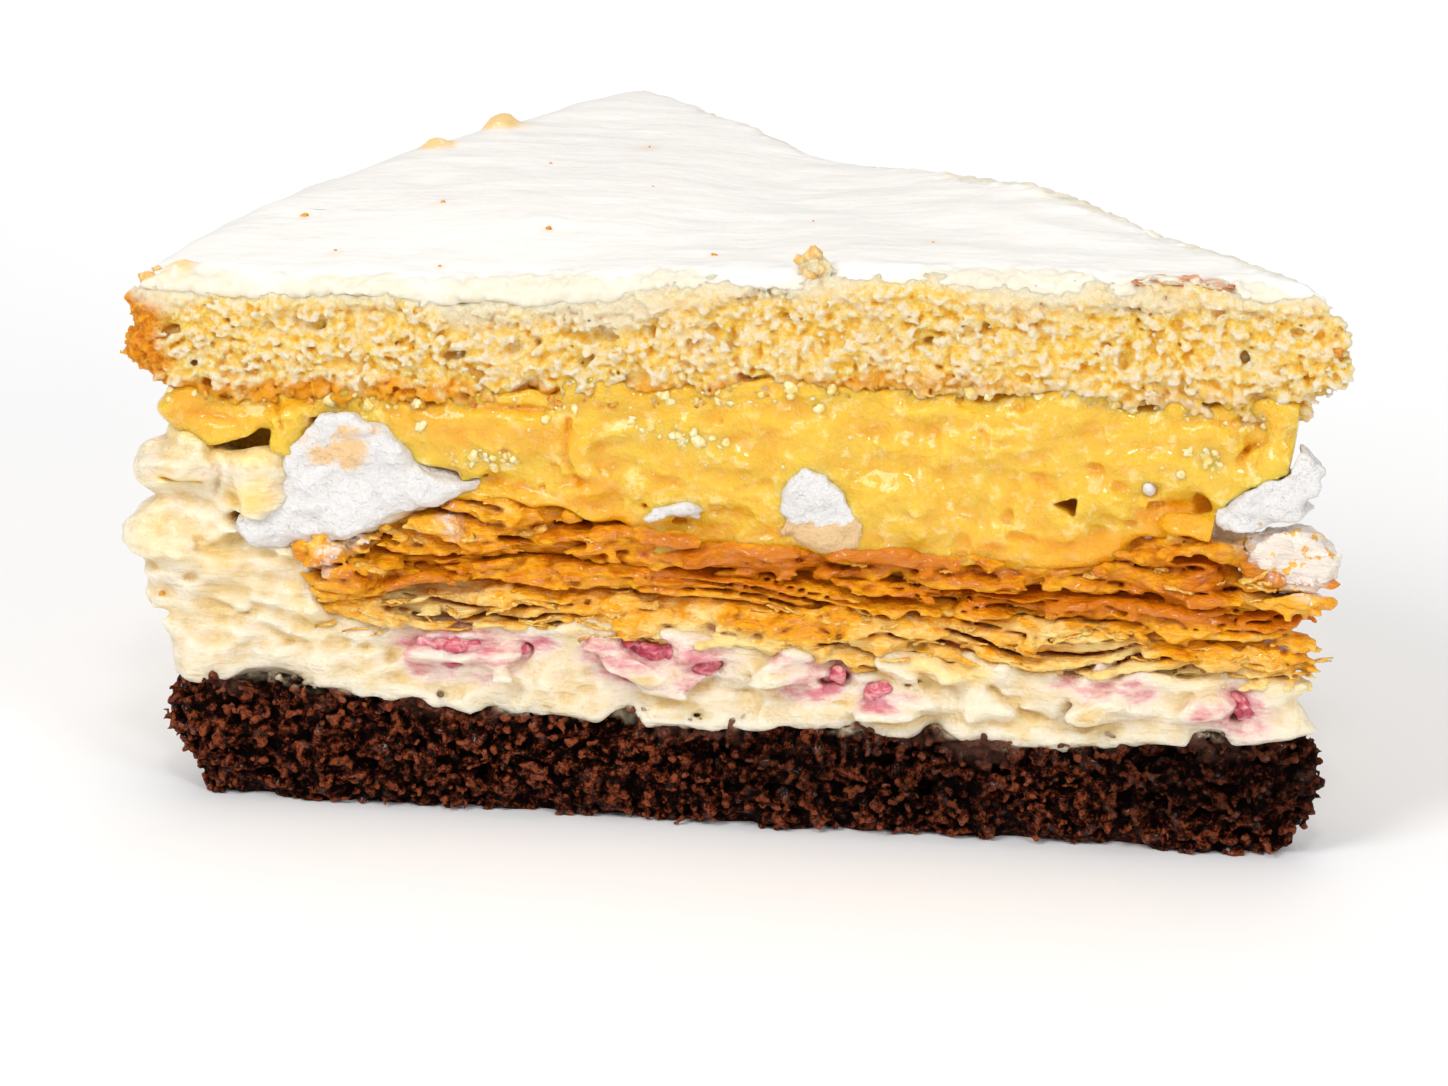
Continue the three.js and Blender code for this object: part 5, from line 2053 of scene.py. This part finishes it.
@dataclass
class Studio:
    """Floor, light and camera: the camera's sizes are in degrees and millimetres, the others in metres."""

    elevation: float = 17.0
    azimuth: float = 9.9
    distance: float = 560.0
    lens: float = 136.4
    target: tuple[float, float, float] = (0.43, -41.63, 30.6)
    half_floor: float = 3.0
    surround: float = 0.45
    middle: float = 0.03

    def floor(self) -> None:
        """Lay the floor at the slice's underside."""
        half, z = self.half_floor, CAD_BOX[0][2]
        points = np.array([(-half, -half, z), (half, -half, z), (half, half, z), (-half, half, z)])
        floor = build_object("studio_floor", points, [np.array([[0, 1, 2, 3]])])
        FloorFinish().dress(floor)

    def light(self) -> None:
        """Set a white surround and the soft boxes."""
        world = bpy.data.worlds.new("studio")
        world.use_nodes = True
        background = world.node_tree.nodes["Background"]
        background.inputs["Color"].default_value = (1.0, 1.0, 1.0, 1.0)
        background.inputs["Strength"].default_value = self.surround
        bpy.context.scene.world = world
        self.box("overhead", (0.0, 0.1, 0.8), 0.6, 1.4)
        self.box("key", (-0.35, -0.5, 0.5), 0.3, 2.8)
        self.box("fill", (0.45, -0.5, 0.3), 0.2, 1.3)
        self.box("sparkle", (0.1, -0.5, 0.6), 0.09, 0.7)
        self.box("backdrop", (0.0, 0.9, 0.9), 0.6, 2.2, 0.75, 70.0)

    def box(self, name: str, place: tuple[float, float, float], size: float, power: float,
            behind: float = 0.0, spread: float = 180.0) -> None:
        """Hang a soft box that looks at the slice or at the floor behind it.

        Args:
            name: name of the light.
            place: its place in metres.
            size: its side in metres.
            power: its power in watts.
            behind: how far behind the slice it looks, in metres.
            spread: angle of its beam in degrees.
        """
        data = bpy.data.lights.new(name, "AREA")
        data.energy, data.size, data.spread = power, size, math.radians(spread)
        lamp = bpy.data.objects.new(name, data)
        lamp.location = place
        aim = Vector((0.0, behind, self.middle)) - Vector(place)
        lamp.rotation_mode = "QUATERNION"
        lamp.rotation_quaternion = aim.to_track_quat("-Z", "Y")
        bpy.context.scene.collection.objects.link(lamp)

    def camera(self) -> None:
        """Stand the camera where the photograph was taken."""
        e, a = math.radians(self.elevation), math.radians(self.azimuth)
        forward = Vector((-math.sin(a) * math.cos(e), math.cos(a) * math.cos(e), -math.sin(e)))
        data = bpy.data.cameras.new("photo_view")
        data.lens, data.sensor_width = self.lens, 36.0
        data.clip_start, data.clip_end = 0.01, 20.0
        camera = bpy.data.objects.new("photo_view", data)
        camera.location = (Vector(self.target) - forward * self.distance) * MM
        camera.rotation_mode = "QUATERNION"
        camera.rotation_quaternion = forward.to_track_quat("-Z", "Y")
        bpy.context.scene.collection.objects.link(camera)
        bpy.context.scene.camera = camera
        bpy.context.scene.view_settings.view_transform = "Standard"


def all_parts() -> list[Layer]:
    """Every layer and lump, from the bottom up.

    Returns:
        The parts in the order in which they are built.
    """
    parts: list[Layer] = [
        ChocolateBase(), CreamFilling(),
        PastryLeaves(
            ("pastry_lower",), leaf=1.5, tone=(-0.05, 0.5), seed=31,
            slots=((((54.0, 24.6), (60.0, 23.8), (66.0, 24.9)), 0.3, 2.5),
                   (((14.0, 23.0), (22.0, 23.4), (28.0, 24.2)), 0.35, 2.5)),
            rolls=((((44.6, 20.0), (45.2, 18.9)), 0.7), (((60.0, 21.4), (68.0, 21.8)), 1.0),
                   (((20.0, 21.6), (24.0, 21.0)), 0.8), (((98.0, 21.4), (104.0, 20.4)), 1.2)),
            tints=((((55.0, 22.6), (66.0, 22.6)), 1.2, 0.35), (((100.0, 21.0), (113.0, 20.6)), 1.6, 0.3),
                   (((12.0, 18.5), (24.0, 19.0)), 1.2, -0.25), (((74.0, 19.8), (82.0, 19.2)), 0.9, 0.2))),
        PastryLeaves(
            ("pastry_middle",), leaf=1.05, tone=(0.25, 0.95), seed=40, lumpy=0.35,
            slots=((((41.0, 28.0), (46.0, 27.8), (53.0, 27.1), (60.0, 27.5)), 0.35, 3.0),
                   (((60.0, 27.3), (66.0, 26.8), (70.0, 25.4), (78.0, 25.2)), 0.4, 3.0),
                   (((78.0, 26.8), (88.0, 26.7), (97.0, 27.0), (104.0, 26.4)), 0.3, 3.0),
                   (((28.0, 25.4), (34.0, 24.9), (40.0, 24.5), (48.0, 24.4)), 0.35, 3.0)),
            tints=((((20.0, 24.2), (26.0, 24.6)), 0.8, 0.25), (((70.0, 25.6), (100.0, 25.8)), 0.9, 0.3),
                   (((94.0, 27.0), (114.0, 25.4)), 1.8, 0.35), (((78.0, 28.6), (97.0, 28.4)), 1.4, 0.4))),
        PastryLeaves(
            ("pastry_upper",), leaf=1.9, tone=(0.55, 0.9), seed=49, ragged=0.8, lumpy=1.1,
            lumps=("meringue_left", "sugar_crust", "meringue_middle"),
            slots=((((36.5, 31.3), (40.2, 31.5)), 0.45, 3.5), (((28.6, 25.6), (30.4, 25.5)), 0.45, 3.0),
                   (((16.8, 28.6), (18.8, 29.4), (20.0, 28.8)), 0.35, 2.5),
                   (((31.0, 29.8), (35.0, 29.2), (40.0, 29.8)), 0.35, 2.5),
                   (((100.4, 31.2), (103.0, 31.6), (106.0, 31.0)), 0.55, 4.0),
                   (((20.6, 26.8), (26.0, 27.6), (32.0, 27.2)), 0.3, 2.5)),
            rolls=((((12.6, 27.4), (15.4, 24.8)), 2.3), (((19.0, 30.4), (26.0, 31.8)), 1.1),
                   (((29.0, 33.6), (33.0, 32.6)), 1.2), (((100.0, 34.0), (106.0, 32.6)), 1.0),
                   (((108.0, 29.6), (113.0, 28.0), (116.0, 27.6)), 1.4)),
            tints=((((10.5, 24.0), (14.0, 29.0)), 2.6, -0.1), (((60.0, 29.4), (96.0, 29.2)), 1.4, 0.25),
                   (((108.0, 28.0), (116.0, 27.4)), 1.6, -0.35), (((28.0, 34.0), (32.0, 33.0)), 1.2, -0.3),
                   (((98.0, 35.0), (106.0, 33.0)), 1.8, -0.45), (((19.0, 30.4), (26.0, 31.8)), 1.0, -0.25)),
            sugar=((((13.0, 28.6), (17.0, 29.6)), 0.7, 1.0), (((25.5, 32.6), (26.4, 30.6)), 0.6, 1.0),
                   (((12.6, 26.0), (13.4, 27.4)), 0.5, 1.0), (((108.0, 34.5), (114.0, 30.0)), 1.6, 1.0))),
        CustardLayer(), VanillaLayer(), GlazeTop(),
    ]
    outlines = {
        "meringue_left": (
            (2.5, 31.0), (8.0, 33.0), (8.0, 36.0), (9.0, 38.5), (11.0, 41.0), (13.0, 42.5), (16.0, 42.5),
            (19.0, 41.0), (22.0, 39.0), (24.0, 36.7), (29.0, 35.5), (25.0, 33.5), (20.0, 32.0), (17.0, 30.2),
            (12.0, 29.5), (9.0, 28.5), (4.0, 28.7)),
        "meringue_middle": (
            (59.7, 33.4), (60.2, 35.8), (61.0, 38.2), (61.7, 39.4), (63.0, 38.8), (65.0, 38.2), (66.8, 36.6),
            (68.0, 34.8), (69.3, 33.0), (68.5, 30.8), (64.0, 30.4), (60.4, 31.0), (59.4, 32.2)),
        "meringue_sliver": (
            (45.4, 33.2), (47.4, 34.3), (50.0, 35.0), (52.2, 35.0), (52.8, 34.1), (50.6, 33.3), (48.0, 32.8),
            (45.8, 32.7)),
        "meringue_right": (
            (104.2, 35.3), (105.5, 37.6), (107.5, 39.2), (110.0, 40.6), (111.8, 41.0), (112.2, 43.6),
            (113.4, 43.4), (114.6, 41.5), (114.2, 39.3), (113.0, 37.4), (114.0, 36.8), (113.6, 35.9),
            (112.0, 35.2), (109.8, 34.4), (107.5, 34.6))}
    for name in sorted(frame["nodes"]):
        seed = 100 + len(parts)
        if name in outlines:
            parts.append(MeringueLump((name,), grow=1.0, seed=seed, rough=0.25, outline=outlines[name]))
        elif name.startswith("meringue"):
            parts.append(MeringueLump((name,), seed=seed, rough=0.25))
        elif name == "sugar_crust":
            parts.append(SugarCrust((name,), seed=seed))
        elif name.startswith("berry"):
            parts.append(BerryPiece((name,), target=4_000, rough=0.34, grow=0.1, seed=seed))
    return parts


def main() -> None:
    """Build the studio and every part."""
    logging.basicConfig(level=logging.INFO, format="%(asctime)s %(name)s %(message)s")
    studio = Studio()
    studio.camera()
    studio.floor()
    studio.light()
    for part in all_parts():
        part.build()
    for bits in loose_bits():
        bits.build()


if __name__ == "__main__":
    main()
